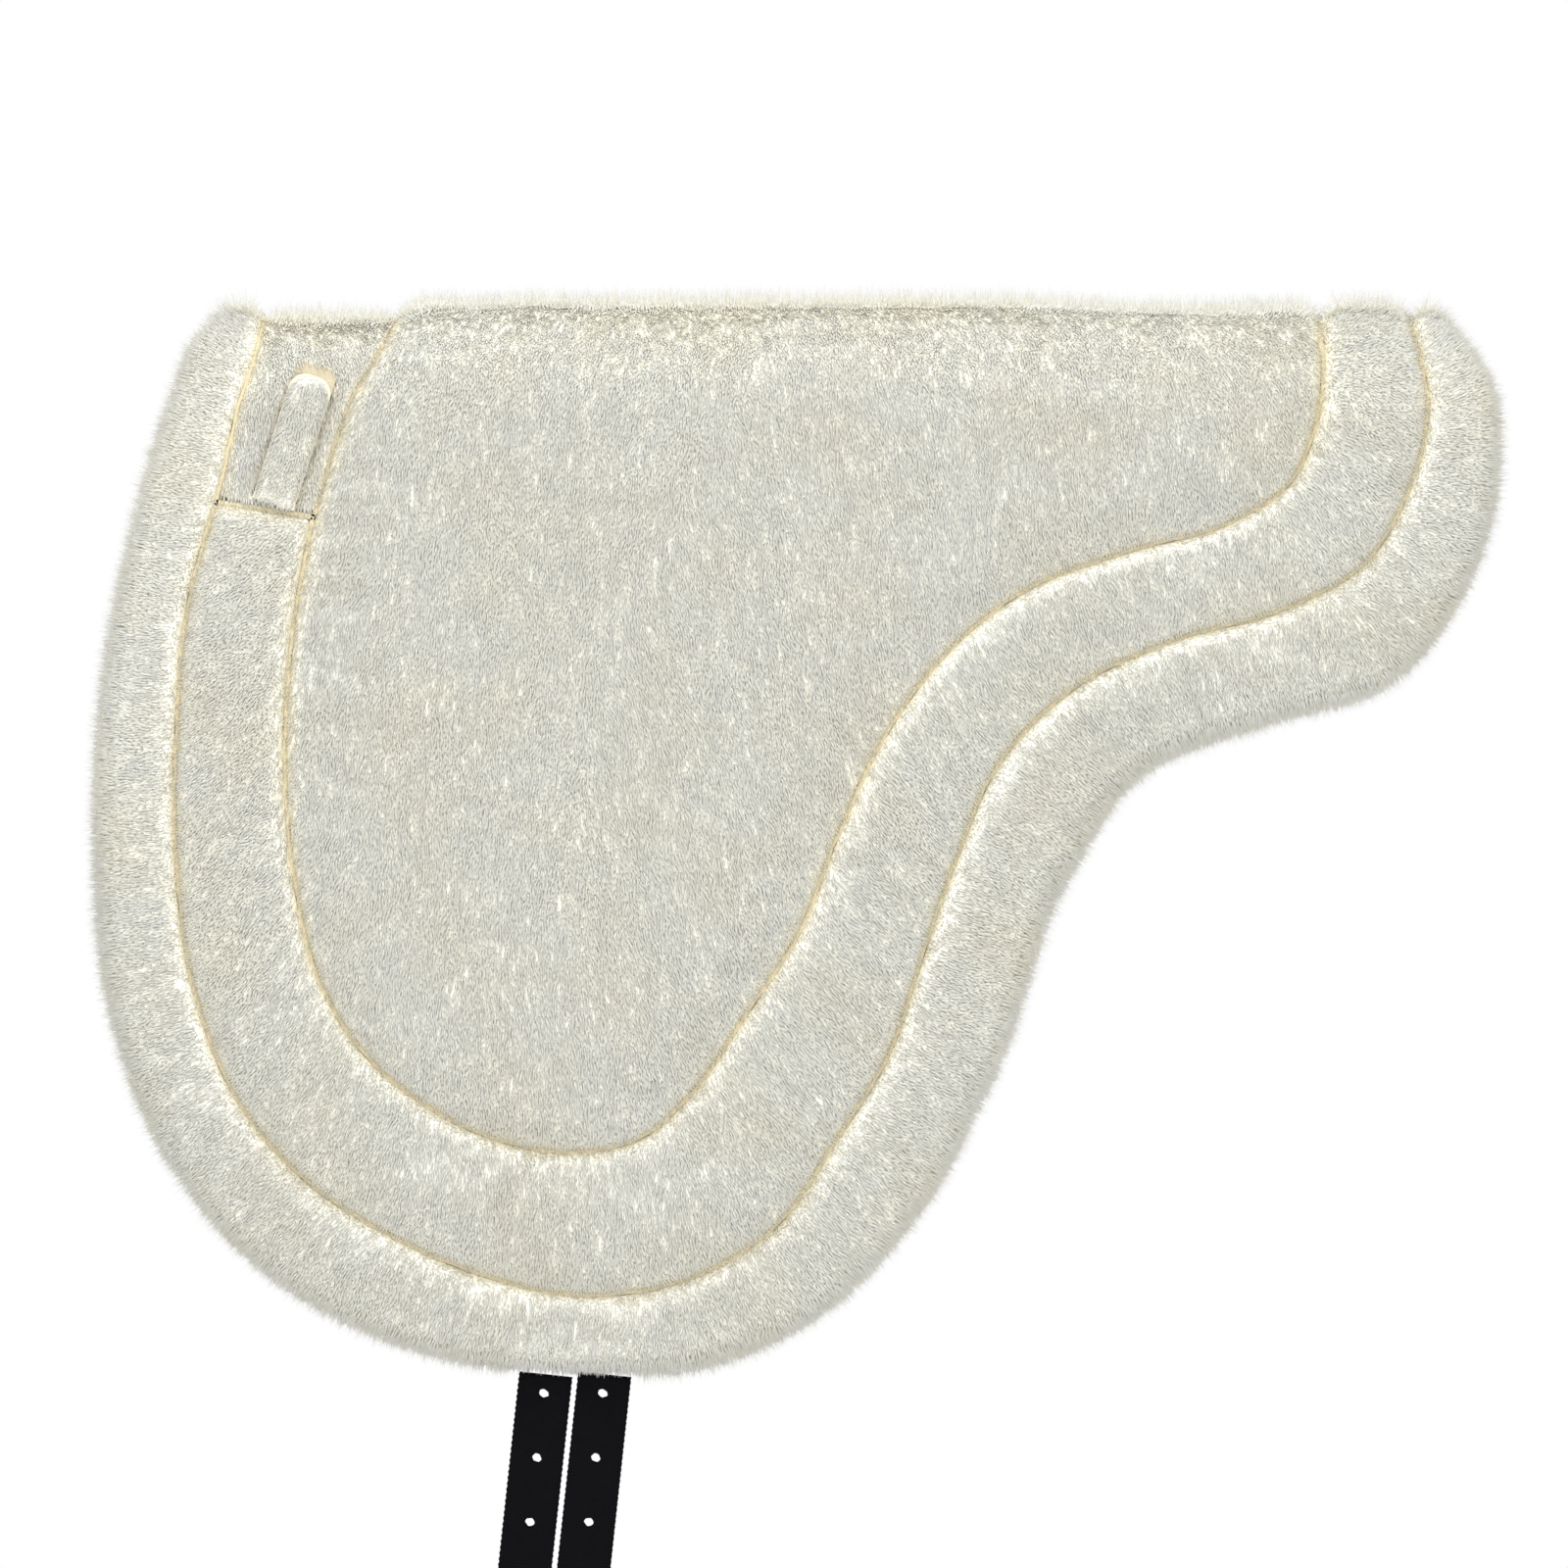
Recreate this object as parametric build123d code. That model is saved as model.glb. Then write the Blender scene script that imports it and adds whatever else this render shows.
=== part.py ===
"""A fleece saddle pad hung folded over its spine, with webbing girth billets at the hem.

Frame: +Z up, -X to the front (withers), -Y the near side. The origin is the underside of the
spine above the girth line. "drop" is the distance down from the top of the fold, and "level" is the
distance out from the underside, the same all round the fold and down both flaps.
"""

from build123d import *
from math import radians, tan
import os

os.makedirs("parts", exist_ok=True)

# ---- the plan of one side, millimetres ----
FORE = 222.0  # girth line to the foremost edge
AFT = 432.0  # girth line to the rearmost edge, the cantle
DROP = 495.0  # top of the fold to the bottom hem
SEAM_GAP = 3.0  # between two quilted channels
SEAM_WIDTH = 1.6  # the stitched line in that gap

# ---- the stack, from the underside out ----
LINING = 5.0
WEB = 2.5  # girth webbing, in a slot in the foam
FOAM = 11.0
COVER = 8.0
STACK = LINING + FOAM + COVER
EDGE_WRAP = 7.0  # the cover turned down round the edge of the foam
SEAM_TOP = LINING + 9.0  # the seam pulls the cover down to this level

# ---- the fold ----
FOLD_INSIDE = 24.0  # inner radius of the fold
SPINE_DROP = 100.0  # how far the spine piece reaches down each side
CLEARANCE = 0.3

# ---- wither panel and its tab ----
PANEL = 9.0  # the unpadded panel, on the lining
CROSS_SEAM_HEIGHT = 3.0
PATCH = 1.5  # a hook or loop patch
TAB_WIDTH, TAB_LENGTH, TAB_LEAN = 20.0, 60.0, 18.0
TAB_WEB, TAB_COVER = 1.5, 4.0
TAB_X, TAB_DROP = -139.0, 90.0  # middle of the tab's sewn end
PATCH_LENGTH = 24.0
LOOP_SHOW = 5.0  # the loop patch shows this far past the tip

# ---- billets ----
BILLET_WIDTH = 25.0
BILLET_GAP = 2.3  # between the two billets
BILLET_PITCH = BILLET_WIDTH + BILLET_GAP  # along X, at the hem
BILLET_LEAN = 6.2  # the billets run forward as they go down
BILLET_LENGTH = 246.0
BILLET_TIP = 12.0  # length of the pointed end
BILLET_BELOW_HEM = 3.5  # the swing line
HOLE_RADIUS, HOLE_PITCH, HOLE_COUNT, FIRST_HOLE = 2.4, 30.0, 8, 8.5

FAR = 900.0  # longer than the pad in any direction
ABOVE = 60.0  # plan faces close this far above the fold

TOP_Z = STACK  # the origin is at the underside, so the top of the fold is one stack up
ARCH_Z = -FOLD_INSIDE  # centre line of the fold
SPINE_END_Z = TOP_Z - SPINE_DROP
HALF_STACK = STACK / 2
HINGE_Y = FOLD_INSIDE + HALF_STACK
HINGE_Z = SPINE_END_Z - CLEARANCE - HALF_STACK
BILLET_Z = TOP_Z - DROP - BILLET_BELOW_HEM

# Three lines from the top of the withers down the front, along the belly, up the hip and to the
# cantle, as shares of FORE (ahead of the girth line) or AFT (behind it), and of DROP. Each starts
# and ends a little above the fold, so that it crosses the fold square.
EDGE = [
    (-0.68, -0.060), (-0.74, 0.010), (-0.83, 0.065), (-0.912, 0.180), (-0.973, 0.323),
    (-0.998, 0.495), (-0.970, 0.650), (-0.858, 0.788), (-0.660, 0.896), (-0.362, 0.970),
    (0.000, 0.998), (0.140, 0.990), (0.264, 0.940), (0.364, 0.850), (0.447, 0.717),
    (0.530, 0.528), (0.602, 0.440), (0.745, 0.388), (0.872, 0.352), (0.955, 0.270),
    (0.998, 0.150), (0.975, 0.045), (0.925, -0.005), (0.870, -0.060),
]
OUTER_SEAM = [
    (-0.633, -0.048), (-0.665, 0.035), (-0.704, 0.099), (-0.735, 0.163), (-0.803, 0.274),
    (-0.829, 0.393), (-0.831, 0.512), (-0.792, 0.641), (-0.710, 0.737), (-0.567, 0.815),
    (-0.383, 0.869), (-0.178, 0.908), (0.014, 0.925), (0.119, 0.910), (0.214, 0.861),
    (0.277, 0.783), (0.335, 0.701), (0.366, 0.623), (0.408, 0.517), (0.456, 0.425),
    (0.529, 0.361), (0.634, 0.315), (0.761, 0.283), (0.845, 0.241), (0.892, 0.173),
    (0.913, 0.090), (0.903, 0.035), (0.882, -0.048),
]
INNER_SEAM = [
    (-0.342, -0.048), (-0.399, 0.026), (-0.461, 0.081), (-0.516, 0.154), (-0.563, 0.237),
    (-0.596, 0.338), (-0.604, 0.439), (-0.583, 0.540), (-0.536, 0.627), (-0.454, 0.691),
    (-0.322, 0.744), (-0.178, 0.777), (-0.014, 0.791), (0.072, 0.777), (0.124, 0.737),
    (0.182, 0.664), (0.240, 0.586), (0.282, 0.494), (0.335, 0.398), (0.403, 0.320),
    (0.487, 0.264), (0.592, 0.230), (0.703, 0.202), (0.766, 0.165), (0.794, 0.108),
    (0.801, 0.053), (0.798, -0.048),
]
STATIONS = 60  # points that carry a line when it is moved sideways

written = []


def save(name, shape):
    """Write one node, named as its file."""
    shape.label = name
    export_step(shape, f"parts/{name}.step")
    written.append(name)


def plan_curve(line, inward=0):
    """One of the three lines as a spline in the XZ plane, moved inwards if asked."""
    places = [(x * (FORE if x < 0 else AFT), 0, TOP_Z - down * DROP) for x, down in line]
    curve = Spline(places)
    if not inward:
        return curve
    moved = []
    for n in range(STATIONS + 1):
        along = curve % (n / STATIONS)
        moved.append(curve @ (n / STATIONS) + Vector(-along.Z, 0, along.X) * inward)
    return Spline(moved)


def plan_face(curve):
    """A plan face: everything inside a curve that starts and ends above the fold."""
    start, end = curve @ 0, curve @ 1
    top = TOP_Z + ABOVE
    lid = Polyline(end, (end.X, 0, top), (start.X, 0, top), start)
    face = Face(Wire([curve, *lid.edges()]))
    return face if face.normal_at().Y < 0 else -face


def prism(line, inward=0):
    """Everything inside one of the three lines, cut through both sides."""
    return extrude(plan_face(plan_curve(line, inward)), amount=FAR, both=True)


def seam_plan(line):
    """The stitched line itself."""
    return prism(line, -SEAM_WIDTH / 2) - prism(line, SEAM_WIDTH / 2)


whole_plan = prism(EDGE)
foam_plan = prism(EDGE, EDGE_WRAP)
edge_plan = whole_plan - foam_plan
rim_plan = whole_plan - prism(OUTER_SEAM, -SEAM_GAP / 2)
band_plan = prism(OUTER_SEAM, SEAM_GAP / 2) - prism(INNER_SEAM, -SEAM_GAP / 2)
seat_plan = prism(INNER_SEAM, SEAM_GAP / 2)
outer_seam_plan, inner_seam_plan = seam_plan(OUTER_SEAM), seam_plan(INNER_SEAM)


def fold_bar(radius, end_z):
    """A bar along X with the section of the fold: a round top and straight sides down to end_z."""
    top = Pos(0, ARCH_Z) * Circle(radius)
    sides = Pos(0, (ARCH_Z + end_z) / 2) * Rectangle(2 * radius, ARCH_Z - end_z)
    below = Pos(0, end_z - radius) * Rectangle(4 * radius, 2 * radius)
    section = (top + sides) - below
    return extrude(Plane.YZ * section, amount=FAR, both=True)


def fold_layer(low, high, end_z=SPINE_END_Z):
    """The layer of the fold between two levels."""
    outer = fold_bar(FOLD_INSIDE + high, end_z)
    inner = fold_bar(FOLD_INSIDE + low, end_z - 1)
    return outer - inner


def flap_layer(low, high):
    """A layer of the near flap between two levels; the whole stack's top end is round."""
    length = FAR
    y_low, y_high = -(FOLD_INSIDE + low), -(FOLD_INSIDE + high)
    slab = Pos((y_low + y_high) / 2, HINGE_Z - length / 2 + HALF_STACK) * Rectangle(
        high - low, length
    )
    round_end = Pos(-HINGE_Y, HINGE_Z) * Circle(HALF_STACK)
    body = Pos(-HINGE_Y, HINGE_Z - length / 2) * Rectangle(STACK, length)
    section = slab & (round_end + body)
    return extrude(Plane.YZ * section, amount=FAR, both=True)


def parts_by_x(shape):
    """The separate solids of a shape, from the front to the rear."""
    return sorted(shape.solids(), key=lambda s: s.center().X)


def near_and_off(name, near):
    """Save a near piece and its mirror image."""
    save(f"near_{name}", near)
    save(f"off_{name}", mirror(near, about=Plane.XZ))


# ---- girth webs: the strap that each billet is the end of ----
def strap_x(side, drop):
    """Where a billet's middle line is at a drop; side is -1 for the front one, 1 for the rear."""
    return side * BILLET_PITCH / 2 + (TOP_Z - drop - BILLET_Z) * tan(radians(BILLET_LEAN))


def strap_bar(side, above, below, low, high):
    """A straight strap of the near flap, in line with its billet, from above to below the swing line."""
    middle_y = -(FOLD_INSIDE + (low + high) / 2)
    bar = Pos(0, 0, (above + below) / 2) * Box(BILLET_WIDTH, high - low, above - below)
    return Pos(side * BILLET_PITCH / 2, middle_y, BILLET_Z) * Rot(0, BILLET_LEAN, 0) * bar


WEB_END = WEB / 2 + CLEARANCE  # the web stops this far above the billet's swing line
web_slab = flap_layer(LINING, LINING + WEB)
flap_webs = {}
spine_webs = {}
for side, place in ((-1, "front"), (1, "rear")):
    long_bar = strap_bar(side, FAR / 2, WEB_END, LINING, LINING + WEB)
    flap_webs[place] = long_bar & web_slab
    over = Pos(strap_x(side, SPINE_DROP), 0, 0) * Box(BILLET_WIDTH, FAR, FAR)
    spine_webs[place] = fold_layer(LINING, LINING + WEB) & over
all_flap_webs = flap_webs["front"] + flap_webs["rear"]
all_spine_webs = spine_webs["front"] + spine_webs["rear"]

# ---- the spine piece ----
foam_top = LINING + FOAM
cover_layer, foam_layer = fold_layer(foam_top, STACK), fold_layer(LINING, foam_top)
lining_layer = fold_layer(0, LINING)
seam_layer = fold_layer(LINING, SEAM_TOP)

save("spine_lining", lining_layer & whole_plan)
rim_covers = parts_by_x((cover_layer & rim_plan) + (foam_layer & edge_plan))
save("withers_rim_cover", rim_covers[0])
save("cantle_rim_cover", rim_covers[-1])
rim_foams = parts_by_x(foam_layer & (rim_plan & foam_plan))
save("withers_rim_foam", rim_foams[0])
save("cantle_rim_foam", rim_foams[-1])
save("cantle_band_cover", parts_by_x(cover_layer & band_plan)[-1])
save("cantle_band_foam", parts_by_x(foam_layer & band_plan)[-1])
save("spine_seat_cover", cover_layer & seat_plan)
save("spine_seat_foam", (foam_layer & seat_plan) - all_spine_webs)
for name, plan in (("outer_seam", outer_seam_plan), ("inner_seam", inner_seam_plan)):
    lines = parts_by_x(seam_layer & plan)
    save(f"withers_{name}", lines[0])
    save(f"cantle_{name}", lines[-1])
for place, web in spine_webs.items():
    save(f"{place}_girth_web", web)

# the unpadded wither panel, between the rim and the seat, and the seam that ends it
panel_layer = fold_layer(LINING, LINING + PANEL, SPINE_END_Z + CROSS_SEAM_HEIGHT)
wither_panel = parts_by_x(panel_layer & band_plan)[0]
cross_layer = fold_layer(LINING, SEAM_TOP) - fold_layer(
    LINING - 1, SEAM_TOP + 1, SPINE_END_Z + CROSS_SEAM_HEIGHT
)
cross_seams = sorted(
    [s for s in (cross_layer & band_plan).solids() if s.center().X < 0], key=lambda s: s.center().Y
)
save("near_cross_seam", cross_seams[0])
save("off_cross_seam", cross_seams[-1])

# ---- wither tab: sewn at its lower end, its tip held by hook and loop ----
PANEL_LEVEL = LINING + PANEL
LOOP_TOP = PANEL_LEVEL + PATCH
TAB_LOW = LOOP_TOP + CLEARANCE  # underside of the hook patch
WEB_LOW = TAB_LOW + PATCH
TAB_TOP = WEB_LOW + TAB_WEB + TAB_COVER
TAB_HINGE_LEVEL = (WEB_LOW + TAB_TOP) / 2
TAB_ROUND = (TAB_TOP - WEB_LOW) / 2
TAB_Z = TOP_Z - TAB_DROP
tab_place = Pos(TAB_X, 0, TAB_Z) * Rot(0, TAB_LEAN, 0)


def tab_outline(start, end, width, tip_radius):
    """A strip up the tab's middle line with a rounded tip, cut through in Y."""
    strip = Pos(0, 0, (start + end) / 2) * Box(width, FAR, end - start)
    top_edges = strip.edges().filter_by(Axis.Y).group_by(Axis.Z)[-1]
    return tab_place * fillet(top_edges, tip_radius)


def flat_layer(low, high):
    """A flat layer on the near side, between two levels."""
    return Pos(0, -(FOLD_INSIDE + (low + high) / 2), 0) * Box(2 * FAR, high - low, 2 * FAR)


tab_end = tab_place * Pos(0, -(FOLD_INSIDE + TAB_HINGE_LEVEL), 0) * Rot(0, 90, 0) * Cylinder(
    TAB_ROUND, TAB_WIDTH
)
tab_shape = tab_outline(0, TAB_LENGTH, TAB_WIDTH, TAB_WIDTH * 0.4) & flat_layer(WEB_LOW, TAB_TOP)
tab_shape = tab_shape + tab_end
web_part = flat_layer(WEB_LOW, WEB_LOW + TAB_WEB)
patch_start = TAB_LENGTH - PATCH_LENGTH
hook = tab_outline(patch_start, TAB_LENGTH - 2, TAB_WIDTH - 4, TAB_WIDTH * 0.3) & flat_layer(
    TAB_LOW, WEB_LOW
)
# the loop patch lies on the panel and follows it over the shoulder of the fold
loop_layer = fold_layer(PANEL_LEVEL, LOOP_TOP)
near_half = Pos(0, -FAR / 2, 0) * Box(2 * FAR, FAR, 2 * FAR)
loop_outline = tab_outline(patch_start, TAB_LENGTH + LOOP_SHOW, TAB_WIDTH, TAB_WIDTH * 0.2)
loop = loop_layer & loop_outline & near_half
save("wither_panel", wither_panel)
near_and_off("loop_patch", loop)
near_and_off("tab_cover", tab_shape - web_part)
near_and_off("tab_web", tab_shape & web_part)
near_and_off("tab_hook_patch", hook)

# ---- the flaps ----
cover_slab, foam_slab = flap_layer(foam_top, STACK), flap_layer(LINING, foam_top)
seam_slab = flap_layer(LINING, SEAM_TOP)
rim_cover = (cover_slab & rim_plan) + (foam_slab & edge_plan)
near_and_off("rim_cover", rim_cover - all_flap_webs)
near_and_off("band_cover", cover_slab & band_plan)
near_and_off("seat_cover", cover_slab & seat_plan)
near_and_off("rim_foam", (foam_slab & (rim_plan & foam_plan)) - all_flap_webs)
near_and_off("band_foam", (foam_slab & band_plan) - all_flap_webs)
near_and_off("seat_foam", (foam_slab & seat_plan) - all_flap_webs)
near_and_off("lining", flap_layer(0, LINING) & whole_plan)
near_and_off("outer_seam", (seam_slab & outer_seam_plan) - all_flap_webs)
near_and_off("inner_seam", (seam_slab & inner_seam_plan) - all_flap_webs)
for place, web in flap_webs.items():
    near_and_off(f"{place}_web", web)

# ---- the billets ----
for side, place in ((-1, "front"), (1, "rear")):
    tip = -BILLET_LENGTH
    half = BILLET_WIDTH / 2
    outline = Polyline(
        (-half, 0), (-half, tip + BILLET_TIP), (-half / 2, tip), (half / 2, tip),
        (half, tip + BILLET_TIP), (half, 0), close=True,
    )
    face = make_face(Plane.XZ * outline)
    strap = extrude(face, amount=WEB / 2, both=True)
    strap = strap + Rot(0, 90, 0) * Cylinder(WEB / 2, BILLET_WIDTH)
    for n in range(HOLE_COUNT):
        punch = Pos(0, 0, -FIRST_HOLE - n * HOLE_PITCH) * Rot(90, 0, 0) * Cylinder(HOLE_RADIUS, WEB * 2)
        strap = strap - punch
    web_y = -(FOLD_INSIDE + LINING + WEB / 2)
    strap = Pos(side * BILLET_PITCH / 2, web_y, BILLET_Z) * Rot(0, BILLET_LEAN, 0) * strap
    near_and_off(f"{place}_billet", strap)

print(len(written), "nodes")
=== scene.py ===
import math

import bmesh
import bpy
import numpy as np
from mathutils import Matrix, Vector
from mathutils.geometry import delaunay_2d_cdt


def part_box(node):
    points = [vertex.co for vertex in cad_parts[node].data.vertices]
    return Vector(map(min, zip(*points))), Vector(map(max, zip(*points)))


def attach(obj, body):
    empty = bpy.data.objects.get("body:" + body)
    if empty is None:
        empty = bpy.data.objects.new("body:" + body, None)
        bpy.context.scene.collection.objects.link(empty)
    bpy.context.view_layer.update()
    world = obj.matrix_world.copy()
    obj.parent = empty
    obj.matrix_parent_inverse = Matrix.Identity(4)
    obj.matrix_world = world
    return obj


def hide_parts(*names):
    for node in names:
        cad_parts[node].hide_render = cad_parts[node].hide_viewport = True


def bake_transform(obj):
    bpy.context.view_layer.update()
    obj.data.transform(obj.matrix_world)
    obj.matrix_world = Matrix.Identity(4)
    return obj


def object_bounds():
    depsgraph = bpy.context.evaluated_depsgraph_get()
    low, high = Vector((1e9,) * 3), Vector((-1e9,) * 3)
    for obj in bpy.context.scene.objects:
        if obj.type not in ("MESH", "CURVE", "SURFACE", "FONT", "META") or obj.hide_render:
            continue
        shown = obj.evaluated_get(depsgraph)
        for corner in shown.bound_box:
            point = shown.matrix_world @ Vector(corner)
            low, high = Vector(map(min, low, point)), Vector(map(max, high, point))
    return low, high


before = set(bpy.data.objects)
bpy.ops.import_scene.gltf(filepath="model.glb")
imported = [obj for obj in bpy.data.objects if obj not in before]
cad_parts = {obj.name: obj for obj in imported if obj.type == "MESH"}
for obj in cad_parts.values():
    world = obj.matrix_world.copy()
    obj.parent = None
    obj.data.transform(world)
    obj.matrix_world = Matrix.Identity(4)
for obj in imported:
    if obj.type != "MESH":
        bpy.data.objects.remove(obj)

cad_low, cad_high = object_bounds()

# ==== Studio ====
# The pad hangs in white surroundings over a pale floor, lit by three large soft lights. The camera
# stands far off on the near side, level with the pad, so that the two sides hide one another.
FRAME_WIDTH = 0.7272
VIEW_MIDDLE = Vector((0.0968, 0.0, -0.1978))
camera_data = bpy.data.cameras.new("camera")
camera_data.lens, camera_data.sensor_width = 1000.0, 36.0
camera_distance = FRAME_WIDTH * camera_data.lens / camera_data.sensor_width
camera_data.clip_start, camera_data.clip_end = 1.0, 80.0
camera = bpy.data.objects.new("camera", camera_data)
camera.location = VIEW_MIDDLE - Vector((0.0, camera_distance, 0.0))
camera.rotation_euler = (math.radians(90), 0.0, 0.0)
bpy.context.collection.objects.link(camera)
bpy.context.scene.camera = camera

world = bpy.data.worlds.new("studio")
bpy.context.scene.world = world
world.use_nodes = True
world.node_tree.nodes["Background"].inputs["Color"].default_value = (1.0, 1.0, 1.0, 1.0)
world.node_tree.nodes["Background"].inputs["Strength"].default_value = 1.0
bpy.context.scene.view_settings.view_transform = "Standard"


def soft_light(name, place, aim, size, power, colour):
    """A large square light at place, turned towards aim."""
    data = bpy.data.lights.new(name, "AREA")
    data.shape, data.size, data.energy, data.color = "SQUARE", size, power, colour
    lamp = bpy.data.objects.new(name, data)
    lamp.location = place
    lamp.rotation_euler = (Vector(aim) - Vector(place)).to_track_quat("-Z", "Y").to_euler()
    bpy.context.collection.objects.link(lamp)


soft_light("overhead", (-0.2, -1.4, 2.2), (0.1, 0.0, -0.1), 1.4, 26.0, (0.96, 0.98, 1.0))
soft_light("front", (0.3, -4.2, 0.5), (0.1, 0.0, -0.2), 3.0, 65.0, (1.0, 1.0, 0.97))
soft_light("low_front", (0.2, -2.6, -2.2), (0.1, 0.0, -0.3), 1.6, 11.0, (1.0, 0.93, 0.76))

FLOOR_HALF, FLOOR_BELOW = 6.0, 0.12
floor_mesh = bpy.data.meshes.new("floor")
floor_mesh.from_pydata(
    [(x * FLOOR_HALF, y * FLOOR_HALF, cad_low[2] - FLOOR_BELOW)
     for x, y in ((-1, -1), (1, -1), (1, 1), (-1, 1))],
    [], [(0, 1, 2, 3)],
)
floor = bpy.data.objects.new("floor", floor_mesh)
bpy.context.collection.objects.link(floor)
floor_paint = bpy.data.materials.new("pale_floor")
floor_paint.use_nodes = True
floor_paint.node_tree.nodes["Principled BSDF"].inputs["Base Color"].default_value = (0.86, 0.86, 0.85, 1)
floor_paint.node_tree.nodes["Principled BSDF"].inputs["Roughness"].default_value = 0.9
floor_mesh.materials.append(floor_paint)

# ==== Lining ====
# The underside is one sheet of shorter fleece, the full shape of the pad, that lies against the
# horse. It is cut with the top cover, folded over the spine with it and joined to it round the rim.
# Its cut is flat: a point of it is (x, s), where s is the distance round the fold from the top.
lining_low, lining_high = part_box("near_lining")
cantle_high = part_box("cantle_rim_cover")[1]
EDGE_SHARE = 0.998  # the farthest point of the edge, as a share of each reach
FORE, AFT = -lining_low.x / EDGE_SHARE, cantle_high.x / EDGE_SHARE
DROP = (cantle_high.z - lining_low.z) / EDGE_SHARE
FOLD_INSIDE = -lining_high.y
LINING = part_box("spine_lining")[1].z
STACK = cantle_high.z
FOLD_OUTSIDE = FOLD_INSIDE + STACK
ARCH_LENGTH = FOLD_OUTSIDE * math.pi / 2

# Each line's points are shares of the reach ahead of or behind the girth line, and of the drop.
EDGE = [
    (-0.752, 0.000), (-0.802, 0.022), (-0.824, 0.060), (-0.904, 0.180), (-0.973, 0.323),
    (-0.998, 0.495), (-0.970, 0.650), (-0.858, 0.788), (-0.660, 0.896), (-0.362, 0.970),
    (0.000, 0.998), (0.140, 0.990), (0.264, 0.940), (0.364, 0.850), (0.447, 0.717),
    (0.530, 0.528), (0.602, 0.440), (0.745, 0.388), (0.872, 0.352), (0.948, 0.270),
    (0.988, 0.150), (0.972, 0.045), (0.935, 0.000),
]


def fold_length(drop):
    """How far round the fold a point of the outside lies that has come down by drop."""
    turned = FOLD_OUTSIDE * np.arccos(np.clip(1 - drop / FOLD_OUTSIDE, 0, 1))
    return np.where(drop < FOLD_OUTSIDE, turned, drop - FOLD_OUTSIDE + ARCH_LENGTH)


def evened(line, step):
    """A line again, with points about step apart."""
    along = np.concatenate([[0], np.cumsum(np.linalg.norm(np.diff(line, axis=0), axis=1))])
    at = np.linspace(0, along[-1], max(2, round(along[-1] / step) + 1))
    return np.stack([np.interp(at, along, line[:, k]) for k in range(2)], axis=1)


def cut_line(shares, step=0.001):
    """A smooth line on the flat cut, from one end of the fold to the other."""
    p = np.array([(x * (FORE if x < 0 else AFT), d * DROP) for x, d in shares])
    knots = np.concatenate([[0], np.cumsum(np.linalg.norm(np.diff(p, axis=0), axis=1))])
    slope = np.gradient(p, knots, axis=0)
    t = np.linspace(0, knots[-1], round(knots[-1] / step) * 2)
    i = np.clip(np.searchsorted(knots, t) - 1, 0, len(p) - 2)
    h = (knots[i + 1] - knots[i])[:, None]
    u = (t - knots[i])[:, None] / h
    line = ((2 * u**3 - 3 * u**2 + 1) * p[i] + (u**3 - 2 * u**2 + u) * h * slope[i]
            + (3 * u**2 - 2 * u**3) * p[i + 1] + (u**3 - u**2) * h * slope[i + 1])
    line[:, 1] = fold_length(np.clip(line[:, 1], 0, None))
    return evened(line, step)


def across(line):
    """Unit steps square to a line, towards the middle of the seat, at each of its points."""
    along = np.gradient(line, axis=0)
    along /= np.linalg.norm(along, axis=1)[:, None]
    return np.stack([along[:, 1], -along[:, 0]], axis=1)


def inset(line, by):
    """A line moved towards the middle of the seat, its ends kept on the top of the fold."""
    out = line + across(line) * by
    out[[0, -1], 1] = 0.0
    out[:, 1] = np.clip(out[:, 1], 0, None)
    return out


def folded(x, s, level):
    """Where points of the flat cut lie on the near side, at a level above the pad's underside."""
    turn = np.minimum(s, ARCH_LENGTH) / FOLD_OUTSIDE
    radius = FOLD_INSIDE + level
    return np.stack([x, -radius * np.sin(turn),
                     radius * np.cos(turn) - FOLD_INSIDE - np.maximum(s - ARCH_LENGTH, 0)], axis=1)


def nearest(points, line):
    """Each point's distance to a line, and the number of the line's nearest point."""
    best, where = np.full(len(points), np.inf), np.zeros(len(points), int)
    for start in range(0, len(line), 100):
        d = np.linalg.norm(points[:, None] - line[None, start:start + 100], axis=2)
        i = d.argmin(axis=1)
        closer = d[np.arange(len(points)), i] < best
        best[closer] = d[closer, i[closer]]
        where[closer] = i[closer] + start
    return best, where


def cut_piece(outline, step):
    """A region of the flat cut as points about step apart and the triangles between them."""
    rows = []
    low, high = outline.min(axis=0), outline.max(axis=0)
    for n, s in enumerate(np.arange(low[1] + step / 2, high[1], step * math.sqrt(0.75))):
        x = np.arange(low[0] + (n % 2) * step / 2, high[0], step)
        rows.append(np.stack([x, np.full(len(x), s)], axis=1))
    grid = np.concatenate(rows)
    inside = np.zeros(len(grid), bool)
    for (x0, s0), (x1, s1) in zip(outline, np.roll(outline, -1, axis=0)):
        crossed = (s0 > grid[:, 1]) != (s1 > grid[:, 1])
        if crossed.any():
            inside ^= crossed & (grid[:, 0] < (x1 - x0) * (grid[:, 1] - s0) / (s1 - s0) + x0)
    grid = grid[inside]
    grid = grid[nearest(grid, outline)[0] > step * 0.55]
    points = [Vector(p) for p in np.concatenate([outline, grid])]
    made = delaunay_2d_cdt(points, [], [list(range(len(outline)))], 1, 1e-7)
    return np.array([tuple(v) for v in made[0]]), [tuple(t) for t in made[2]]


def faced_outwards(mesh):
    """Turns the faces of a closed mesh outwards."""
    whole = bmesh.new()
    whole.from_mesh(mesh)
    bmesh.ops.recalc_face_normals(whole, faces=whole.faces)
    whole.to_mesh(mesh)
    whole.free()


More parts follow.
